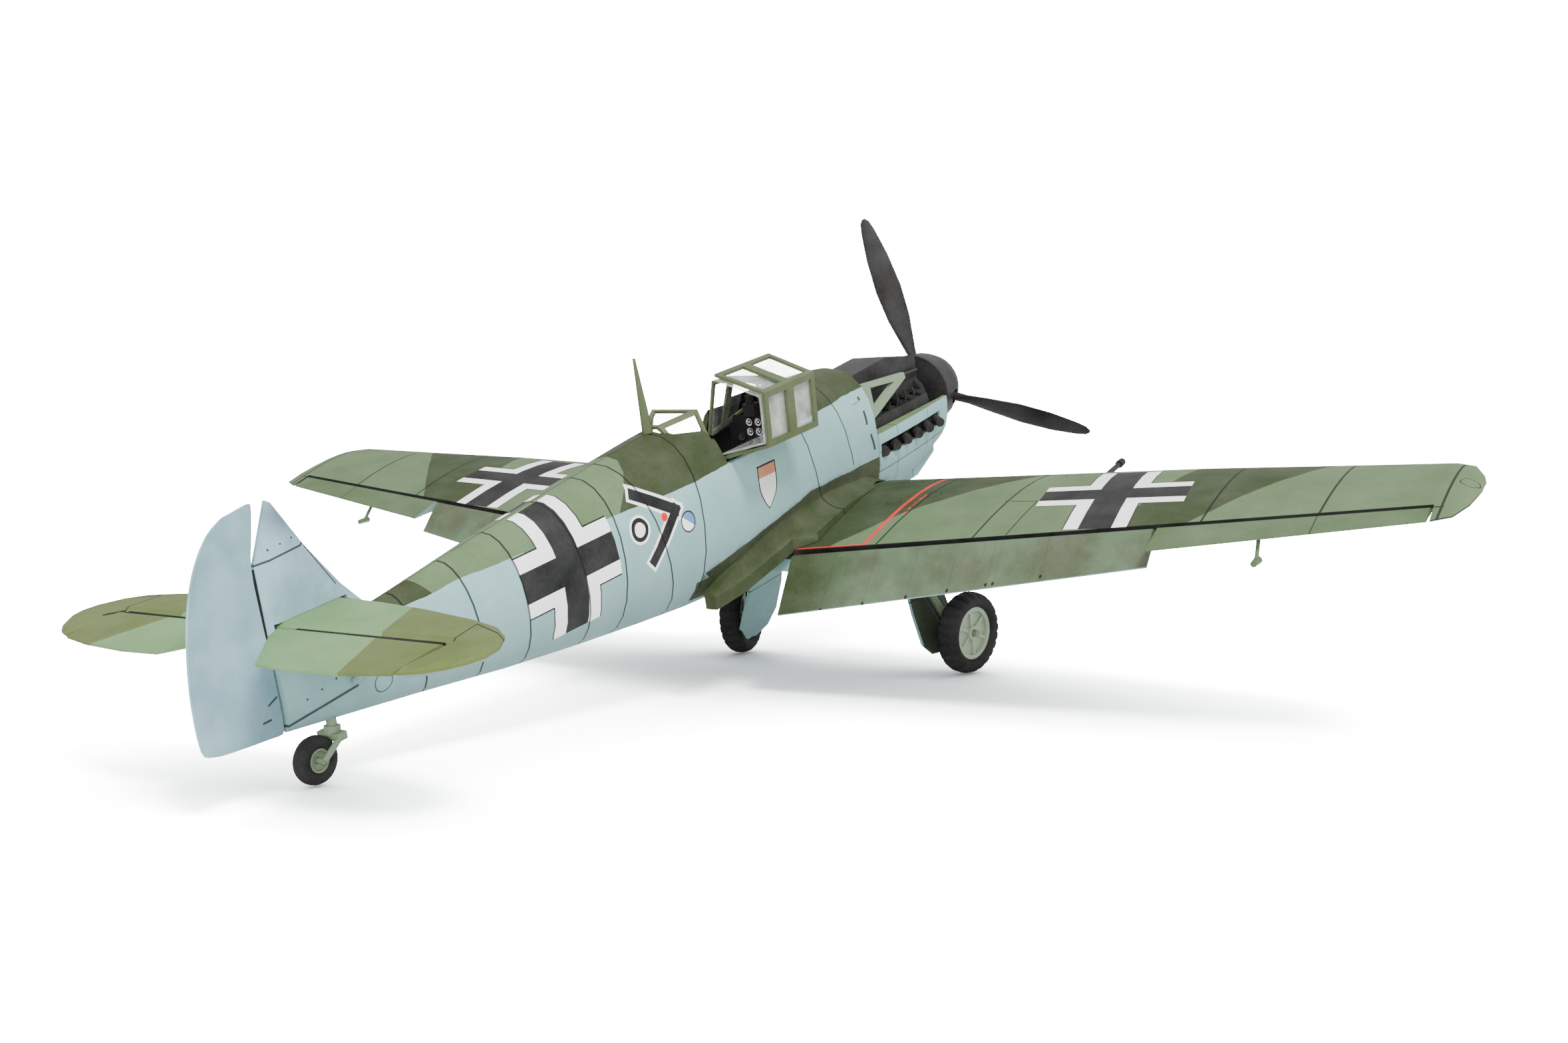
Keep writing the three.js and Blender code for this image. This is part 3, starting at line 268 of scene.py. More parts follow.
    def bump(self, height):
        node = self.tree.nodes.new("ShaderNodeBump")
        node.inputs["Strength"].default_value = BUMP_STRENGTH
        node.inputs["Distance"].default_value = BUMP_DEPTH * MM
        self.put(node.inputs["Height"], height)
        self.tree.links.new(node.outputs["Normal"], self.bsdf.inputs["Normal"])

    def finish(self, color, rough=0.6, lines=None, grain=0.35, sheen=0.14):
        """Weathers the paint, sinks the panel lines into it and sets the finish."""
        cloud = self.noise(0.16, 4.0, 0.6)
        fine = self.noise(2.2, 2.0, 0.6)
        shade = self.ramp(cloud * 0.75 + fine * 0.25, 0.3, 0.7)
        worn = self.mix(shade, self.mix(0.12, color, DIRT), self.mix(0.03, color, WHITE))
        height = fine * grain
        if lines is not None:
            worn = self.mix(lines * 0.9, worn, WASH)
            height = height - lines * LINE_DEPTH
        self.put(self.bsdf.inputs["Base Color"], worn)
        self.put(self.bsdf.inputs["Roughness"], fine * 0.14 + (rough - 0.07))
        self.bsdf.inputs["Specular IOR Level"].default_value = sheen
        self.bump(height)
        return self.material


# ---------------------------------------------------------------- paints

SKY = srgb(130, 168, 168)
# SKY darkened: painted shade for the lower sides and for faces that look down.
SKY_SHADE = srgb(118, 148, 150)
GREEN = srgb(84, 105, 70)
OLIVE = srgb(39, 52, 17)
UMBER = srgb(43, 52, 23)
TAIL_GREEN = srgb(88, 130, 77)
GREY_BLUE = srgb(140, 174, 184)
GREY_BLUE_DARK = srgb(96, 121, 131)
BLACK = srgb(10, 10, 11)
WHITE = srgb(246, 246, 246)
RED = srgb(205, 18, 16)
METAL = srgb(117, 134, 107)
# Near black: the inner walls' dark paint deepened into painted shade, and painted shade in the hinge gaps
# and on the hidden noses of the control surfaces.
INNER_PAINT_AND_GAP_SHADE = srgb(12, 13, 12)
DIRT = srgb(30, 32, 26)
WASH = srgb(18, 19, 17)

# A cross: its centre, the half size of its square, and per direction the half width of the
# black bar, the width of the white beside it and the bar's lean.
CROSS_ON_FUSELAGE = {
    "centre": (119.6, 1.7),
    "arm": 8.35,
    "halves": (1.95, 1.95),
    "edges": (2.1, 1.9),
    "slants": (0.05, -0.04),
}
CROSS_ON_WING = {
    "centre": (54.6, 60.2),
    "arm": 10.9,
    "halves": (2.4, 1.85),
    "edges": (2.15, 1.7),
    "slants": (0.1, 0.045),
}
CROSS_UNDER_WING = {
    "centre": (74.0, 60.5),
    "arm": 8.5,
    "halves": (2.0, 2.0),
    "edges": (1.2, 1.2),
    "slants": (0, 0),
}
# The centre of the two-coloured disc on the fuselage: y, z.
DISC_AT = (96.8, 0.95)
# The height of the dark back's lower edge at the fuselage's front; it drops further aft.
BACK_EDGE = 7.75
# The fuselage's panel lines: where each crosses the axis, and how much it leans.
FUSELAGE_FRAMES = [(53.0, -0.2), (64.4, -0.25), (93.6, 0.05), (102.4, -0.25), (110.2, 0.0)]
FUSELAGE_FRAMES += [(117.6, -0.1), (127.8, -0.05), (135.6, -0.1), (144.2, -0.12)]
# Strokes, as pairs of ends: y, z on the fuselage and tail, out, y on the wing.
CHEVRON = [((98.8, 3.2), (105.2, 7.0)), ((98.8, 3.2), (104.6, -2.1))]
TAIL_CREASE = ((162.6, -2.4), (153.4, -1.2))
WALKWAY = [((21.6, 41.0), (20.9, 73.0)), ((9.0, 73.7), (20.9, 73.0))]
# The wing's rib lines: out at y 73 and out at y 45.
WING_RIBS = [(22.9, 24.2), (38.0, 39.6), (70.1, 70.5), (84.9, 85.9), (99.3, 99.7)]
# Filler caps and hatches on the wing's upper side: out, y.
WING_CAPS = [(24.5, 56.3), (101.4, 62.0), (44.2, 49.1), (18.4, 58.2), (19.0, 47.4)]
# Rib lines on the flaps: out.
FLAP_RIBS = (17.4, 24.0, 30.6, 36.7, 42.3, 43.3, 50.0)
FIN_SEAMS = [((155.6, 15.9), (163.2, 15.3)), ((152.6, 10.4), (155.4, 15.6))]
FIN_SEAMS += [((158.4, 1.8), (163.3, 1.3))]
FIN_RIVETS = [(157.2, 17.0), (158.8, 16.8), (160.4, 16.6), (162.0, 16.4)]
RUDDER_SEAMS = [((163.4, 1.3), (165.0, 1.0)), ((165.0, -0.6), (166.4, -0.4))]
# Where the instrument panel's dials are: x, z.
DIALS = [(-1.0, 7.45), (0.6, 7.45), (-1.0, 5.95), (0.6, 5.95)]
SMALL_DIALS = [(-2.7, 5.2), (2.3, 5.2), (-2.6, 3.6), (-0.9, 4.1), (0.7, 4.1), (2.3, 3.6)]
RIBS_ANGLE_PER_MM = 7.0
SLATS_ANGLE_PER_MM = 9.0


def paint_cross(net, color, u, v, centre, arm, halves, edges, slants, where=1.0):
    """A straight-armed cross: black bars, the white angles along them and a black outline."""
    p = net.abs(u - centre[0] - (v - centre[1]) * slants[0])
    q = net.abs(v - centre[1] - (u - centre[0]) * slants[1])
    inside = (p < arm) & (q < arm)
    black = inside & ((p < halves[0]) | (q < halves[1]))
    angle = inside & (p > halves[0]) & (q > halves[1])
    white = angle & ((p < halves[0] + edges[0]) | (q < halves[1] + edges[1]))
    rim = angle & ((p < halves[0] + edges[0] + 0.2) | (q < halves[1] + edges[1] + 0.2))
    for mask, ink in ((rim, BLACK), (white, WHITE), (black, BLACK)):
        color = net.mix(mask * where, color, ink)
    return color


def any_of(masks):
    total = masks[0]
    for m in masks[1:]:
        total = total | m
    return total


def dots(net, u, v, places, radius):
    return any_of([net.away(u, v, place) < radius for place in places])


def dark_greens(net, scale, detail=2.0):
    return net.mix(net.noise(scale, detail), OLIVE, UMBER)


def fuselage_camouflage(net):
    """Blue sides, darker towards the bottom as painted shade, under a dark green back, and the wing
    roots' dark green fillets.
    """
    x, y, z = net.x, net.y, net.z
    wander = net.wander(0.25, 0.5)
    border = BACK_EDGE - net.ramp(y, 50, 95) * 2.25 - net.ramp(y, 136, 150) * 0.9 + wander
    light_back = net.side_of(y, z, (102.6, 11.2), (106.5, 7.7)) & (y < 141.0 + (z - 6) * 0.6)
    back = net.mix(light_back, dark_greens(net, 0.12), GREEN)
    # Painted shade: the blue sides darken towards the bottom.
    side = net.mix(net.ramp(z, -7, 4), SKY_SHADE, SKY)
    color = net.mix(z > border, side, back)
    fillet_top = wander - 3.9 + net.ramp(y, 43, 64) * 0.5 - net.ramp(y, 66, 93) * 4.2
    fillet = (z < fillet_top) & (y < 93.5 + (z + 7.6) * 1.2) & (net.abs(x) > 3.0)
    under_root = (z < -8.6) & (y < 95.0) & (net.abs(x) > 4.5)
    color = net.mix(fillet | under_root, color, dark_greens(net, 0.3, 3.0))
    # A patchy darker band along the top edge of the wing-root fillets.
    fillet_edge_band = net.line(z - fillet_top + 0.5, 0.5, 0.7) & net.between(y, 50.0, 94.0)
    patchy = net.ramp(net.noise(0.7, 4.0), 0.3, 0.7)
    return net.mix(fillet_edge_band * patchy * 0.75, color, srgb(26, 28, 20))


def paint_discs(net, color, centre, discs):
    """Discs on the fuselage side, painted one over the other: radius and colour of each."""
    away = net.away(net.y, net.z, centre)
    for radius, ink in discs:
        color = net.mix(away < radius, color, ink)
    return color


def fuselage_marks(net, color):
    y, z = net.y, net.z
    on_side = net.abs(net.x) > 0.55
    color = paint_cross(net, color, y, z, **CROSS_ON_FUSELAGE, where=on_side)
    color = net.mix(net.strokes(y, z, CHEVRON, 1.2), color, WHITE)
    color = net.mix(net.strokes(y, z, CHEVRON, 0.78), color, BLACK)
    color = paint_discs(net, color, (106.4, 2.6), [(1.95, WHITE), (1.6, BLACK), (1.0, WHITE)])
    color = paint_discs(net, color, (101.3, 2.9), [(0.6, RED)])
    color = paint_discs(net, color, DISC_AT, [(1.5, BLACK), (1.3, srgb(96, 130, 170))])
    upper_half = z - DISC_AT[1] - 0.05 < (y - DISC_AT[0]) * 0.8
    color = net.mix((net.away(y, z, DISC_AT) < 1.3) & upper_half, color, WHITE)
    taper = net.ramp(z, 1.2, -2.7)
    shield = net.abs(y - 77.4 + z * 0.1) + taper * taper * 2.3
    color = net.mix((shield < 2.4) & net.between(z, -2.8, 3.9), color, BLACK)
    color = net.mix((shield < 2.15) & net.between(z, -2.5, 3.65), color, srgb(214, 214, 208))
    return net.mix((shield < 2.15) & net.between(z, 2.1, 3.65), color, srgb(178, 120, 92))


def fuselage_lines(net):
    x, y, z = net.x, net.y, net.z
    frames = any_of([net.line(y - at + z * lean, 0.12) for at, lean in FUSELAGE_FRAMES])
    frames = frames & ((y > 60) | (z > -3.0))
    seam = net.line(x, 0.05) & (net.abs(z) > 8.0)
    hatches = net.ring(y, z, (149.9, -2.1), 1.2, 0.05) | net.ring(y, z, (139.4, -2.6), 1.0, 0.05)
    slots = net.strokes(y, z, [((46.3, 4.1), (46.4, 2.4)), ((45.6, 0.1), (45.0, -2.1))], 0.3)
    bolt_hole = net.away(y, z, (46.3, 6.4)) < 0.35
    crease = net.stroke(y, z, *TAIL_CREASE, 0.12, 0.12)
    rivets = dots(net, y, z, [(154, 1.4), (156, 0.6), (158, 0.1), (160, -0.3)], 0.13)
    return any_of([frames, seam, hatches, slots, bolt_hole, crease, rivets])


def fuselage_paint():
    net = Net("paint_fuselage")
    color = fuselage_marks(net, fuselage_camouflage(net))
    # The shell's inner side: its dark paint deepened into painted shade.
    color = net.mix(net.facing_in(), color, INNER_PAINT_AND_GAP_SHADE)
    return net.finish(color, lines=fuselage_lines(net))


def wing_green(net, out, y):
    """The two greens of the wing's upper side: dark at the root and in a wedge further out."""
    border = out + net.wander(0.2, 0.8)
    root = net.side_of(border, y, (37.6, 49.0), (22.2, 63.5))
    root = root | (net.side_of(border, y, (22.2, 63.5), (15.0, 73.4)) & (y > 63.5))
    root = root & (out < 42)
    wedge = net.side_of(border, y, (82.2, 52.6), (68.8, 69.8))
    wedge = wedge & net.side_of(out, y, (59.5, 66.8), (63.2, 51.0))
    light = net.mix(net.noise(0.1, 2.0), GREEN, srgb(78, 98, 66))
    return net.mix(root | wedge, light, OLIVE)


def upper_wing_paint():
    net = Net("paint_upper_wing")
    out, y = net.abs(net.x), net.y
    color = wing_green(net, out, y)
    color = paint_cross(net, color, out, y, **CROSS_ON_WING)
    color = net.mix(net.strokes(out, y, WALKWAY, 0.32), color, RED)
    broken_line = (net.noise(2.6, 2.0) > 0.5) & net.stroke(out, y, (23.0, 56.0), (22.8, 64.0), 0.2)
    color = net.mix(broken_line, color, RED)
    # Painted shade: faces that look down take the darker sky, and the faces in the hinge gap go near
    # black.
    color = net.mix(net.normal_up() < -0.2, color, SKY_SHADE)
    hinge_gap_shade = (net.normal_up() < 0.55) & (y > 64.0)
    color = net.mix(hinge_gap_shade, color, INNER_PAINT_AND_GAP_SHADE)
    ribs = [net.line(out - front + (y - 45) * ((front - rear) / 28.0), 0.14) for rear, front in WING_RIBS]
    seams = net.strokes(out, y, [((43.0, 71.8), (43.6, 61.5)), ((38.4, 60.9), (43.6, 61.5))], 0.08)
    rear_edge = net.stroke(out, y, (9.4, 73.75), (99.5, 69.3), 0.12)
    caps = [net.ring(out, y, centre, 1.15, 0.05) for centre in WING_CAPS]
    lines = any_of(ribs + caps) | seams | rear_edge
    return net.finish(color, lines=lines & (net.normal_up() > -0.2))


def lower_wing_paint():
    net = Net("paint_lower_wing")
    out, y = net.abs(net.x), net.y
    color = paint_cross(net, SKY, out, y, **CROSS_UNDER_WING)
    tip = (out > 92.7) & (net.normal_up() > 0.1)
    color = net.mix(tip, color, GREEN)
    leading_edge = (net.normal_up() > 0.15) & (out > 8.5)
    color = net.mix(leading_edge, color, wing_green(net, out, y))
    # Painted shade: the faces in the hinge gap go near black.
    hinge_gap_shade = (y > 68.0) & net.between(out, 8.5, 96.0) & (net.normal_up() > -0.5)
    color = net.mix(hinge_gap_shade, color, INNER_PAINT_AND_GAP_SHADE)
    ribs = any_of([net.line(out - rib, 0.07) for rib in (9.2, 27.6, 45.0, 63.4, 80.5, 92.6)])
    rear_edge = net.stroke(out, y, (10.0, 71.6), (97.0, 67.4), 0.08)
    caps = net.ring(out, y, (50.0, 58.0), 1.6, 0.06) | net.ring(out, y, (33.0, 66.0), 1.2, 0.06)
    return net.finish(color, lines=ribs | rear_edge | caps)


def aileron_paint():
    net = Net("paint_aileron")
    out = net.abs(net.x)
    color = net.mix(net.noise(0.1, 2.0), srgb(76, 95, 63), srgb(70, 88, 58))
    # Painted shade: the underside takes the darker sky, and the nose hidden in the hinge gap goes near
    # black.
    color = net.mix(net.normal_up() < -0.1, color, SKY_SHADE)
    color = net.mix(net.facing_front(), color, INNER_PAINT_AND_GAP_SHADE)
    ribs = any_of([net.line(out - rib, 0.05) for rib in (64.0, 84.9)])
    return net.finish(color, lines=ribs)


def flap_paint():
    net = Net("paint_flap")
    out = net.abs(net.x)
    mottle = net.ramp(net.noise(0.13, 3.0), 0.42, 0.6)
    color = net.mix(mottle, srgb(76, 94, 70), srgb(66, 74, 52))
    color = net.mix(net.ramp(out, 22, 12), color, OLIVE)
    # Painted shade: the underside takes the darker sky, and the nose hidden in the hinge gap goes near
    # black.
    color = net.mix(net.normal_up() < -0.1, color, SKY_SHADE)
    color = net.mix(net.facing_front(), color, INNER_PAINT_AND_GAP_SHADE)
    rivet_row = 82.5 - (out - 10.0) * 0.135
    rivets = any_of([net.hypot(out - rib, net.y - rivet_row) < 0.2 for rib in FLAP_RIBS])
    ribs = any_of([net.line(out - rib, 0.04) for rib in FLAP_RIBS]) * 0.25
    return net.finish(color, lines=rivets | ribs)


def tailplane_paint():
    net = Net("paint_tailplane")
    out, y = net.abs(net.x), net.y
    outer = net.side_of(out, y, (20.0, 173.0), (12.4, 152.0))
    inner_green = net.mix(net.noise(0.15, 2.0), TAIL_GREEN, srgb(112, 138, 96))
    color = net.mix(outer, inner_green, srgb(82, 95, 46))
    # Painted shade: the underside takes the darker sky.
    color = net.mix(net.normal_up() < -0.15, color, SKY_SHADE)
    horn = [((24.6, 156.4), (25.8, 163.4)), ((24.6, 156.4), (30.4, 158.8))]
    lines = net.strokes(out, y, horn, 0.08) | net.line(y - 152.4, 0.08)
    return net.finish(color, lines=lines)


def fin_paint(name, dark, seams, rivets=()):
    net = Net("paint_" + name)
    cloud = net.ramp(net.noise(0.12, 3.0), 0.35, 0.65)
    color = net.mix(cloud, dark, GREY_BLUE)
    lines = net.strokes(net.y, net.z, seams, 0.1)
    if rivets:
        lines = lines | dots(net, net.y, net.z, rivets, 0.12)
    return net.finish(color, lines=lines)


def plain_paint(name, color, rough=0.6, marks=None, sheen=0.14):
    """One colour, weathered. marks(net) is a mask of what is sunk into it and dark."""
    net = Net("paint_" + name)
    return net.finish(color, rough, marks(net) if marks else None, sheen=sheen)


def cowling_paint():
    net = Net("paint_cowling")
    y, z = net.y, net.z
    ledge = (z > -1.15) & (net.normal_up() > 0.55)
    # Painted shade: darker towards the bottom.
    color = net.mix(net.ramp(z, -14, 0), SKY_SHADE, SKY)
    color = net.mix(ledge | (net.facing_out() < -0.3), color, srgb(92, 116, 76))
    lines = net.line(y - 24.0, 0.06) | net.line(y - 36.5, 0.06)
    lines = lines | net.stroke(y, z, (15, -6.2), (44, -6.6), 0.06)
    return net.finish(color, lines=lines)


def engine_paint():
    """Near-black casting with ribbed banks."""
    net = Net("paint_engine")
    wave = net.math("SINE", net.y * RIBS_ANGLE_PER_MM)
    ribs = net.ramp(wave, -0.2, 0.7) & net.between(net.z, -1.8, 1.6)
    color = net.mix(net.noise(0.8, 3.0), srgb(10, 9, 9), srgb(19, 18, 18))
    color = net.mix(ribs * 0.4, color, srgb(46, 45, 44))
    joints = net.line(net.z - 4.2, 0.08) | net.line(net.z - 2.2, 0.08)
    return net.finish(color, 0.5, ribs * 0.35 + joints * 0.8)


def panel_paint():
    """Black instrument panel with plain dials."""
    net = Net("paint_instruments")
    x, z = net.x, net.z
    color = net.mix(net.noise(1.5), srgb(6, 6, 6), srgb(14, 14, 14))
    for column, row in DIALS + SMALL_DIALS:
        ink = srgb(235, 232, 236) if (column, row) in DIALS else srgb(70, 70, 70)
        radius = net.away(x, z, (column, row))
        tip = (column + 0.25, row + 0.2 - column * 0.1)
        needle = net.stroke(x, z, (column, row), tip, 0.06, 0.03)
        face = net.line(radius - 0.5, 0.1, 0.03) | needle | (radius < 0.16)
        color = net.mix(face, color, ink)
    return net.finish(color, 0.45)


def door_paint():
    """Gear door: sky outside, darker towards the bottom as painted shade, and dark green deepened into
    painted shade on the side that faces the leg.
    """
    net = Net("paint_gear_door")
    # Painted shade: darker towards the bottom.
    color = net.mix(net.ramp(net.z, -38, -16), SKY_SHADE, SKY)
    # The side towards the wheel: dark green paint deepened into painted shade.
    color = net.mix(net.facing_out() > 0.2, color, srgb(44, 54, 34))
    return net.finish(color, lines=net.line(net.z + 26.0, 0.06))


def slats(net):
    """Dark gaps between upright slats, on the faces that stand up."""
    wave = net.math("SINE", net.x * SLATS_ANGLE_PER_MM)
    return (net.abs(net.normal_up()) < 0.3) & (wave > 0.2)


def tyre_paint():
    net = Net("paint_tyre")
    color = net.mix(net.noise(0.9, 4.0), srgb(18, 16, 16), srgb(32, 29, 28))
    return net.finish(color, 0.75, grain=0.8)


def clear_plastic(name, cover, least):
    """Clear moulding. Its haze hides up to cover + least of what is behind it."""
    net = Net("clear_plastic_" + name)
    b = net.bsdf
    haze = net.noise(0.5, 4.0, 0.6)
    net.put(b.inputs["Base Color"], net.mix(haze, srgb(170, 176, 172), srgb(226, 230, 226)))
    net.put(b.inputs["Alpha"], net.ramp(haze, 0.3, 0.75) * cover + least)
    net.put(b.inputs["Roughness"], net.ramp(haze, 0.35, 0.8) * 0.14 + 0.04)
    b.inputs["Specular IOR Level"].default_value = 0.7
    b.inputs["Coat Weight"].default_value = 0.4
    return net.material


# ---------------------------------------------------------------- skins over the CAD nodes

WELD_METRES = 3e-6
SKIN_ANGLE = 38


def add_object(name, mesh, body, material):
    o = bpy.data.objects.new(name, mesh)
    bpy.context.scene.collection.objects.link(o)
    mesh.materials.clear()
    mesh.materials.append(material)
    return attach(o, body)


def shade(bm, angle):
    """Smooth shading, but for edges that turn more than this many degrees."""
    for f in bm.faces:
        f.smooth = True
    for e in bm.edges:
        if len(e.link_faces) == 2:
            e.smooth = e.calc_face_angle(0) < math.radians(angle)


def skin(node, material):
    """A smooth-shaded copy of a CAD node, shown in its place."""
    source = NODES[node]
    bm = bmesh.new()
    bm.from_mesh(source.data)
    bmesh.ops.remove_doubles(bm, verts=bm.verts, dist=WELD_METRES)
    shade(bm, SKIN_ANGLE)
    mesh = bpy.data.meshes.new("skin_" + node)
    bm.to_mesh(mesh)
    bm.free()
    o = add_object("skin_" + node, mesh, source["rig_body"], material)
    o.modifiers.new("weighted", "WEIGHTED_NORMAL").keep_sharp = True
    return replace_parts(o, node)


FUSELAGE = fuselage_paint()
UPPER = upper_wing_paint()
LOWER = lower_wing_paint()
TAILPLANE = tailplane_paint()
AILERON = aileron_paint()
FLAP = flap_paint()
FIN = fin_paint("fin", GREY_BLUE_DARK, FIN_SEAMS, FIN_RIVETS)
RUDDER = fin_paint("rudder", srgb(112, 146, 158), RUDDER_SEAMS)
FRAME_GREEN = plain_paint("frames", srgb(70, 82, 50), 0.5)
BLACK_SATIN = plain_paint("propeller", srgb(17, 14, 14), 0.5)
ENGINE = engine_paint()
EXHAUST = plain_paint("exhaust", srgb(17, 13, 12), 0.65)
# Near black: the cockpit's dark paint deepened into painted shade, and the strips that stand in for the
# shade in the tail's hinge gaps.
COCKPIT_AND_GAP_SHADE = plain_paint("cockpit_and_gap_shade", srgb(12, 12, 12), 0.8, sheen=0.05)
PANEL = panel_paint()
METAL_PAINT = plain_paint("metal_grey_green", METAL, 0.45)
HUB = plain_paint("wheel_hub", srgb(160, 174, 150), 0.45)
COWL = cowling_paint()
DOOR = plain_paint("door", SKY, 0.5)
GEAR_DOOR = door_paint()
# The radiator faces down and takes the darker sky as painted shade.
GRILLE = plain_paint("radiator", SKY_SHADE, 0.5, slats)
TYRE = tyre_paint()
STRAP = plain_paint("strap", srgb(128, 118, 92), 0.8)
HAZY = clear_plastic("hazy", 0.3, 0.22)
CLEAR = clear_plastic("clear", 0.08, 0.03)


def both(word):
    return [word + "_left", word + "_right"]


SKINS = [
    (FUSELAGE, both("fuselage")),
    (UPPER, both("upper_wing")),
    (LOWER, ["lower_wing"]),
    (AILERON, both("aileron")),
    (FLAP, both("flap")),
    (GRILLE, both("radiator")),
    (TAILPLANE, both("tailplane") + both("elevator")),
    (DOOR, ["pitot_tube"] + both("tail_strut")),
    (FIN, ["fin"]),
    (RUDDER, ["rudder"]),
    (FRAME_GREEN, ["windscreen_frame", "hood_frame", "rear_canopy_frame", "aerial_mast"]),
    (CLEAR, ["windscreen_glass", "rear_canopy_glass"]),
    (HAZY, ["hood_glass"]),
    (COCKPIT_AND_GAP_SHADE, ["firewall", "cockpit_floor", "seat"]),
    (PANEL, ["instrument_panel"]),
    (BLACK_SATIN, ["control_stick", "gunsight"] + both("cannon_barrel")),
    (BLACK_SATIN, ["spinner", "spinner_backplate", "propeller_shaft"]),
    (BLACK_SATIN, ["propeller_blade_1", "propeller_blade_2", "propeller_blade_3"]),
    (ENGINE, ["engine"]),
    (METAL_PAINT, both("engine_bearer") + both("gear_leg") + ["tail_wheel_hub", "tail_fork"]),
    (EXHAUST, both("exhaust")),
    (COWL, ["lower_cowling"]),
    (GEAR_DOOR, both("gear_door")),
    (HUB, both("wheel_hub")),
]
for material, nodes in SKINS:
    for node in nodes:
        skin(node, material)

# ---------------------------------------------------------------- moulded detail


def place(bm, name, body, material, angle=40):
    """Makes a piece from a mesh drawn in airframe millimetres."""
    shade(bm, angle)
    bmesh.ops.recalc_face_normals(bm, faces=bm.faces)
    bm.transform(AIRFRAME)
    mesh = bpy.data.meshes.new(name)
    bm.to_mesh(mesh)
    bm.free()
    return add_object(name, mesh, body, material)


def add_ring(bm, centre, across, up, width, height, sides):
    """The points of an ellipse, width and height being its half sizes."""
    return [
        bm.verts.new(centre + across * (width * math.cos(t)) + up * (height * math.sin(t)))
        for t in (2 * math.pi * i / sides for i in range(sides))
    ]


def join_rings(bm, first, second):
    n = len(first)
    for i in range(n):
        bm.faces.new((first[i], first[(i + 1) % n], second[(i + 1) % n], second[i]))


def add_loft(bm, rings):
    """A skin through the rings, closed at both ends."""
    for first, second in zip(rings, rings[1:]):
        join_rings(bm, first, second)
    bm.faces.new(rings[0][::-1])
    bm.faces.new(rings[-1])


def add_tube(bm, points, radius, sides):
    """A tube through the points, closed at both ends."""
    points = [Vector(p) for p in points]
    rings = []
    for i, p in enumerate(points):
        onward = (points[min(i + 1, len(points) - 1)] - points[max(i - 1, 0)]).normalized()
        if not rings:
            across = onward.orthogonal()
        across = (across - onward * across.dot(onward)).normalized()
        rings.append(add_ring(bm, p, across, onward.cross(across), radius, radius, sides))
    add_loft(bm, rings)


def curve_through(points, steps=6):
    """Points along a smooth curve through the given ones."""
    points = [Vector(p) for p in points]
    line = []
    for i in range(len(points) - 1):
        before = points[max(i - 1, 0)]
        after = points[min(i + 2, len(points) - 1)]
        a, b = points[i], points[i + 1]
        for k in range(steps):
            t = k / steps
            line.append(
                0.5 * (2 * a + (b - before) * t + (2 * before - 5 * a + 4 * b - after) * t * t
                       + (3 * a - before - 3 * b + after) * t ** 3)
            )
    line.append(points[-1])
    return line


def treaded_tyre(node, joint, rim, radius, width, grooves, depth):
    """A tyre with grooves across its crown, on the joint's axle, in place of the smooth CAD one.

    Its profile is pairs of a share of the half width and a radius, from rim to crown.
    """
    to_airframe = AIRFRAME.inverted()
    middle = to_airframe @ Vector(JOINTS[joint]["pos_m"])
    axle = (to_airframe.to_3x3() @ Vector(JOINTS[joint]["axis"])).normalized()
    upward = (Vector((0, 0, 1)) - axle * axle.z).normalized()
    aft = axle.cross(upward)
    half = width / 2
    wall = radius - rim
    bm = bmesh.new()
    rings = []
    for i in range(grooves * 4):
        cut = depth if i % 4 == 0 else 0.0
        t = 2 * math.pi * i / (grooves * 4)
        ray = aft * math.cos(t) + upward * math.sin(t)
        side = [(0.72, rim), (0.96, rim + wall * 0.24), (1.0, rim + wall * 0.45)]
        side += [(0.92, rim + wall * 0.72 - cut * 0.7), (0.7, radius - wall * 0.12 - cut)]
        side += [(0.38, radius - wall * 0.02 - cut), (0.12, radius - cut)]
        profile = [(-half * s, r) for s, r in side] + [(half * s, r) for s, r in reversed(side)]
        rings.append([bm.verts.new(middle + axle * s + ray * r) for s, r in profile])
    for first, second in zip(rings, rings[1:] + rings[:1]):
        join_rings(bm, first, second)
    piece = place(bm, "treaded_" + node, NODES[node]["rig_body"], TYRE, 28)
    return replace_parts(piece, node)


def strip(name, sections):
    """A thin near-black strip through four-cornered sections: painted shade standing in a gap."""
    bm = bmesh.new()
    add_loft(bm, [[bm.verts.new(corner) for corner in section] for section in sections])
    return place(bm, name, "airframe", COCKPIT_AND_GAP_SHADE)


def elevator_gap_shade(side):
    """Painted shade: the black strip behind the tailplane that closes most of the gap to the elevator's
    nose.
    """
    sections = []
    for out in GAP_SHADE_STATIONS:
        front = 161.05 - (out - 4.0) * 0.007
        corners = ((front, 8.05), (161.5, 8.12), (161.5, 8.38), (front, 8.35))
        sections.append([(side * out, y, z) for y, z in corners])
    return strip("elevator_gap_shade_" + SIDE_WORD[side], sections)


def rudder_gap_shade():
    """Painted shade: the black strip behind the fin, up to where the rudder's balance begins."""
    sections = []
    for z, front in RUDDER_GAP_SHADE_FRONT:
        rear = front + 0.33
        corners = ((-0.14, front), (0.14, front), (0.14, rear), (-0.14, rear))
        sections.append([(x, y, z) for x, y in corners])
    return strip("rudder_gap_shade", sections)


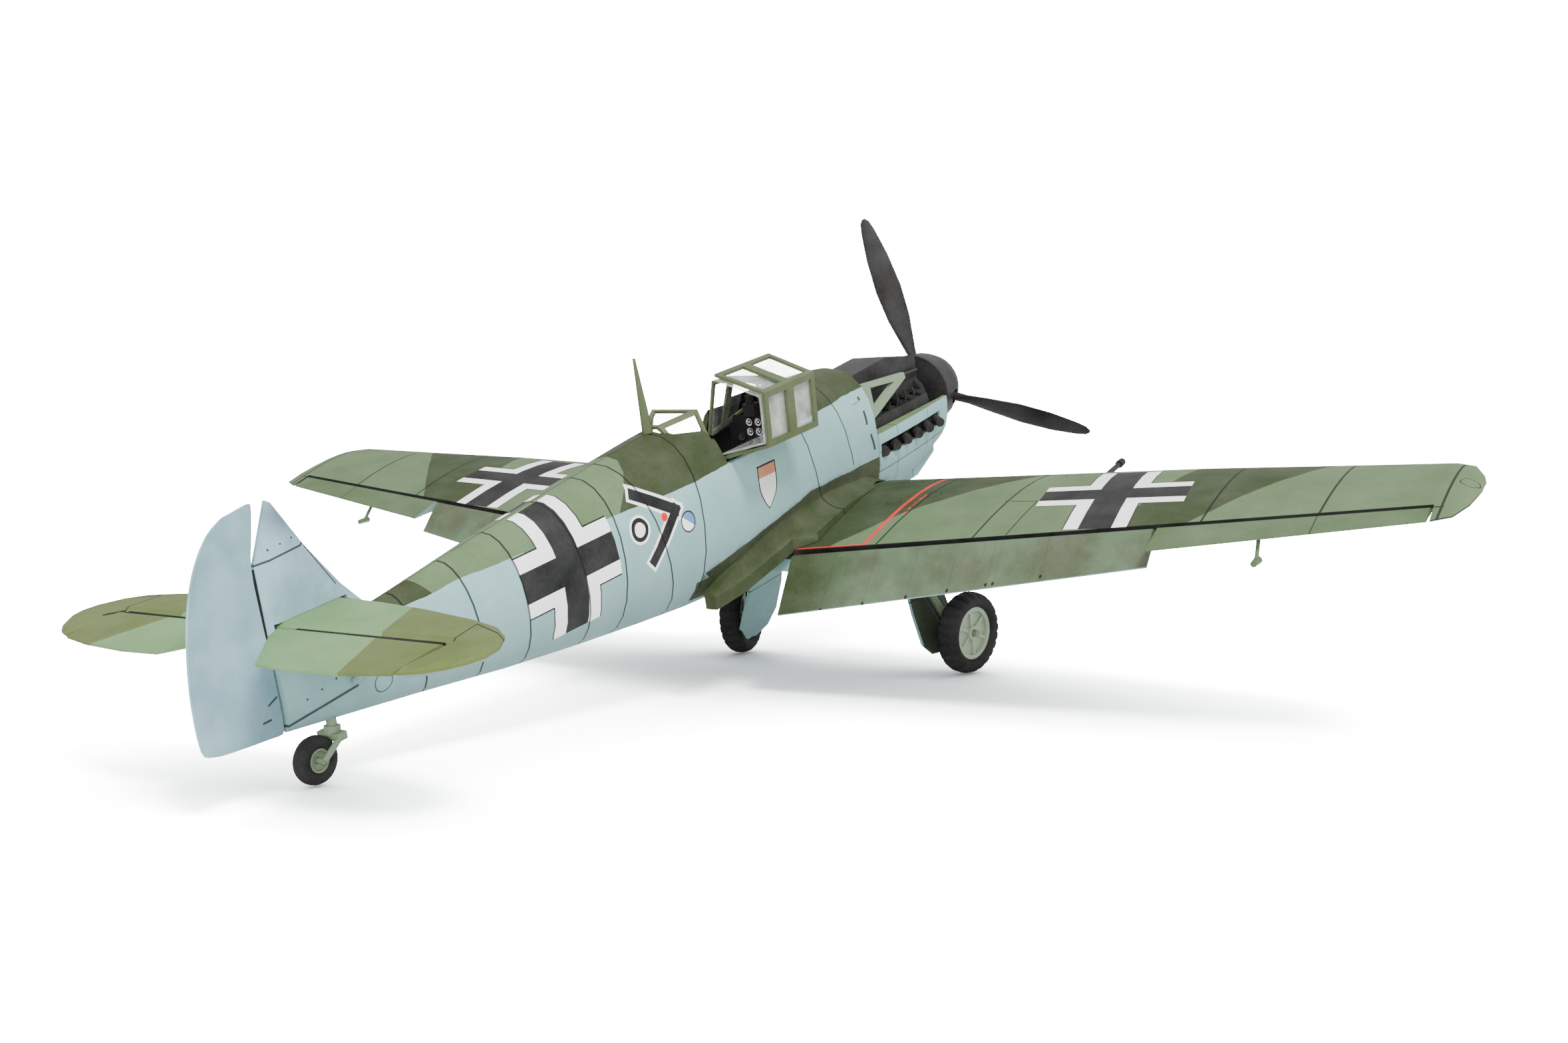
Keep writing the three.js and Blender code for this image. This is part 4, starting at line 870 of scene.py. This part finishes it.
def dial_rims():
    """A raised rim round each dial: a ring with a square section."""
    bm = bmesh.new()
    for column, row in DIALS + SMALL_DIALS:
        centre = Vector((column, PANEL_FACE, row))
        loop = [
            add_ring(bm, centre + Vector((0, depth, 0)), Vector((1, 0, 0)), Vector((0, 0, 1)), r, r, 20)
            for r, depth in ((0.72, 0.0), (0.72, 0.2), (0.64, 0.2), (0.62, 0.0))
        ]
        for i in range(4):
            join_rings(bm, loop[i], loop[(i + 1) % 4])
    return place(bm, "dial_rims", "airframe", BLACK_SATIN)


def cowl_bulge(side):
    """The teardrop blister behind the engine bearer's top bolt."""
    bm = bmesh.new()
    rings = []
    for i in range(BULGE_STEPS + 1):
        t = i / BULGE_STEPS
        swell = math.sqrt(max(t * (1.0 - t ** 1.6), 0.0)) * 0.9 + 0.02
        centre = Vector((side * (7.25 + 0.16 * t), 50.2 - 3.6 * t, 6.0 + 0.35 * t))
        leaning = Vector((0, 0.1, 1))
        rings.append(add_ring(bm, centre, leaning, Vector((side, 0, 0)), swell, swell * 0.95, 12))
    add_loft(bm, rings)
    return place(bm, "cowl_bulge_" + SIDE_WORD[side], "airframe", DOOR, 60)


def mirrored(side, points):
    """Points of the left side as they are, or moved to the right side."""
    return [(side * x, y, z) for x, y, z in points]


def strap(side):
    """One shoulder strap, over the seat's back and down its front."""
    corners = ((-0.35, 0), (0.35, 0), (0.35, 0.12), (-0.35, 0.12))
    bm = bmesh.new()
    rings = []
    for p in curve_through(mirrored(side, STRAP_BENDS)):
        rings.append([bm.verts.new(p + Vector((dx, dy, 0))) for dx, dy in corners])
    add_loft(bm, rings)
    return place(bm, "shoulder_strap_" + SIDE_WORD[side], "airframe", STRAP)


def side_tubes(side, name, material, paths, radius, sides=8):
    """Tubes through the given points of the left side, or their mirror image."""
    bm = bmesh.new()
    for path in paths:
        add_tube(bm, curve_through(mirrored(side, path)), radius, sides)
    return place(bm, name + "_" + SIDE_WORD[side], "airframe", material)


MAIN_TYRE = {"rim": 4.3, "radius": 6.63, "width": 3.8, "grooves": 24, "depth": 0.4}
TAIL_TYRE = {"rim": 1.36, "radius": 2.74, "width": 2.0, "grooves": 12, "depth": 0.0}
PANEL_FACE = 66.46
BULGE_STEPS = 8
# Stations along the span, out, of the elevators' painted-shade strips.
GAP_SHADE_STATIONS = (3.6, 8.0, 12.0, 16.0, 20.0, 24.4)
# Pairs of z and of where the rudder's painted-shade strip starts.
RUDDER_GAP_SHADE_FRONT = ((5.4, 162.37), (9.0, 162.3), (13.0, 162.22), (15.0, 162.19))
STRAP_BENDS = [(1.2, 82.1, 3.8), (1.15, 81.6, 6.4), (1.1, 80.8, 5.2), (1.3, 80.6, 0.6)]
LEADS = [[(4.6, y, 3.2), (5.3, y + 0.5, 2.4), (5.2, y + 1.0, 1.2)] for y in range(20, 40, 3)]
LEAD_RADIUS = 0.16
COOLANT_PIPE = [(3.6, 18.5, 5.2), (4.0, 24, 5.6), (4.0, 34, 5.6), (3.4, 41, 5.0)]
PIPE_RADIUS = 0.34
BRAKE_LINE = [(14.0, 51.2, -16.2), (16.4, 50.2, -22.5), (18.2, 48.4, -28.0), (18.6, 46.6, -31.8)]
BRAKE_LINE_RADIUS = 0.15

treaded_tyre("tyre_left", "wheel_left_spin", **MAIN_TYRE)
treaded_tyre("tyre_right", "wheel_right_spin", **MAIN_TYRE)
treaded_tyre("tail_tyre", "tail_wheel_spin", **TAIL_TYRE)
dial_rims()
rudder_gap_shade()
for side in SIDE_WORD:
    cowl_bulge(side)
    strap(side)
    elevator_gap_shade(side)
    side_tubes(side, "ignition_leads", EXHAUST, LEADS, LEAD_RADIUS, 6)
    side_tubes(side, "coolant_pipe", ENGINE, [COOLANT_PIPE], PIPE_RADIUS)
    side_tubes(side, "brake_line", BLACK_SATIN, [BRAKE_LINE], BRAKE_LINE_RADIUS, 6)

# ---------------------------------------------------------------- camera, light, floor

# The camera's place is in airframe millimetres; the lights and the floor are in metres.
CAMERA_AT = (-136.1, 268.1, 56.7)
CAMERA_AZIMUTH = math.radians(213.59)
CAMERA_ELEVATION = math.radians(15.07)
CAMERA_ROLL = math.radians(-7.52)
CAMERA_LENS = 37.22
CAMERA_SENSOR = 36
CAMERA_SHIFT = (0.0041, 0.0005)
SKY_LIGHT = 1.2
SKY_SHOWN = 16.0
FLOOR_SIZE = 30
FLOOR_HEIGHT = -0.0002
FLOOR_SHOWN = 13.5
SHADOW_SHOWN = 1.0
SHADOW_REACH = 0.07
# Name, place, the point it is aimed at, diameter and watts.
LIGHTS = [
    ("key", (-0.55, 0.35, 0.75), (0, 0, 0.03), 0.25, 12.5),
    ("fill", (-0.45, 0.85, 0.22), (0, 0.03, 0.03), 0.6, 8.5),
]


def camera_axes():
    """The photo camera's right, up and backward directions in the airframe frame."""
    a, e = CAMERA_AZIMUTH, CAMERA_ELEVATION
    back = Vector((math.sin(a) * math.cos(e), -math.cos(a) * math.cos(e), math.sin(e)))
    level = (-back).cross(Vector((0, 0, 1))).normalized()
    upright = level.cross(-back)
    c, s = math.cos(CAMERA_ROLL), math.sin(CAMERA_ROLL)
    return level * c + upright * s, upright * c - level * s, back


def make_camera():
    right, up, back = camera_axes()
    turn = AIRFRAME.to_3x3().normalized() @ Matrix((right, up, back)).transposed()
    data = bpy.data.cameras.new("camera")
    data.lens = CAMERA_LENS
    data.sensor_width = CAMERA_SENSOR
    data.shift_x, data.shift_y = CAMERA_SHIFT
    data.clip_start = 0.01
    camera = bpy.data.objects.new("camera", data)
    camera.matrix_world = Matrix.Translation(AIRFRAME @ Vector(CAMERA_AT)) @ turn.to_4x4()
    bpy.context.scene.collection.objects.link(camera)
    bpy.context.scene.camera = camera


def make_light(name, at, aim, size, power):
    data = bpy.data.lights.new(name, "AREA")
    data.shape = "DISK"
    data.size = size
    data.energy = power
    o = bpy.data.objects.new(name, data)
    o.location = at
    o.rotation_mode = "QUATERNION"
    o.rotation_quaternion = (Vector(aim) - Vector(at)).to_track_quat("-Z", "Y")
    bpy.context.scene.collection.objects.link(o)
    return o


def seen_directly(tree):
    """1 for what the camera itself sees, 0 for light on its way to something else."""
    return tree.nodes.new("ShaderNodeLightPath").outputs["Is Camera Ray"]


def grey(level):
    return (level, level, level, 1)


def make_floor():
    """A white floor with a soft contact shadow, brighter to the camera than to the model."""
    bpy.ops.mesh.primitive_plane_add(size=FLOOR_SIZE, location=(0, 0, FLOOR_HEIGHT))
    floor = bpy.context.object
    floor.name = "floor"
    net = Net("floor")
    fleck = net.noise(0.02, 2.0)
    pale = net.mix(fleck, grey(0.8), grey(0.83))
    occlusion = net.tree.nodes.new("ShaderNodeAmbientOcclusion")
    occlusion.inputs["Distance"].default_value = SHADOW_REACH
    openness = net.ramp(Value(net, occlusion.outputs["AO"]), 0.1, 0.97)
    shown = net.mix(openness * openness, grey(SHADOW_SHOWN), grey(FLOOR_SHOWN))
    net.put(net.bsdf.inputs["Base Color"], net.mix(seen_directly(net.tree), pale, shown))
    net.put(net.bsdf.inputs["Roughness"], fleck * 0.06 + 0.5)
    net.bsdf.inputs["Specular IOR Level"].default_value = 0.0
    floor.data.materials.append(net.material)
    return floor


def make_sky():
    """A white sky, brighter to the camera than to the model."""
    world = bpy.data.worlds.new("world")
    world.use_nodes = True
    tree = world.node_tree
    background = tree.nodes["Background"]
    background.inputs["Color"].default_value = grey(1)
    strength = tree.nodes.new("ShaderNodeMapRange")
    strength.inputs["To Min"].default_value = SKY_LIGHT
    strength.inputs["To Max"].default_value = SKY_SHOWN
    tree.links.new(seen_directly(tree), strength.inputs["Value"])
    tree.links.new(strength.outputs["Result"], background.inputs["Strength"])
    bpy.context.scene.world = world


make_camera()
make_sky()
make_floor()
[make_light(*light) for light in LIGHTS]
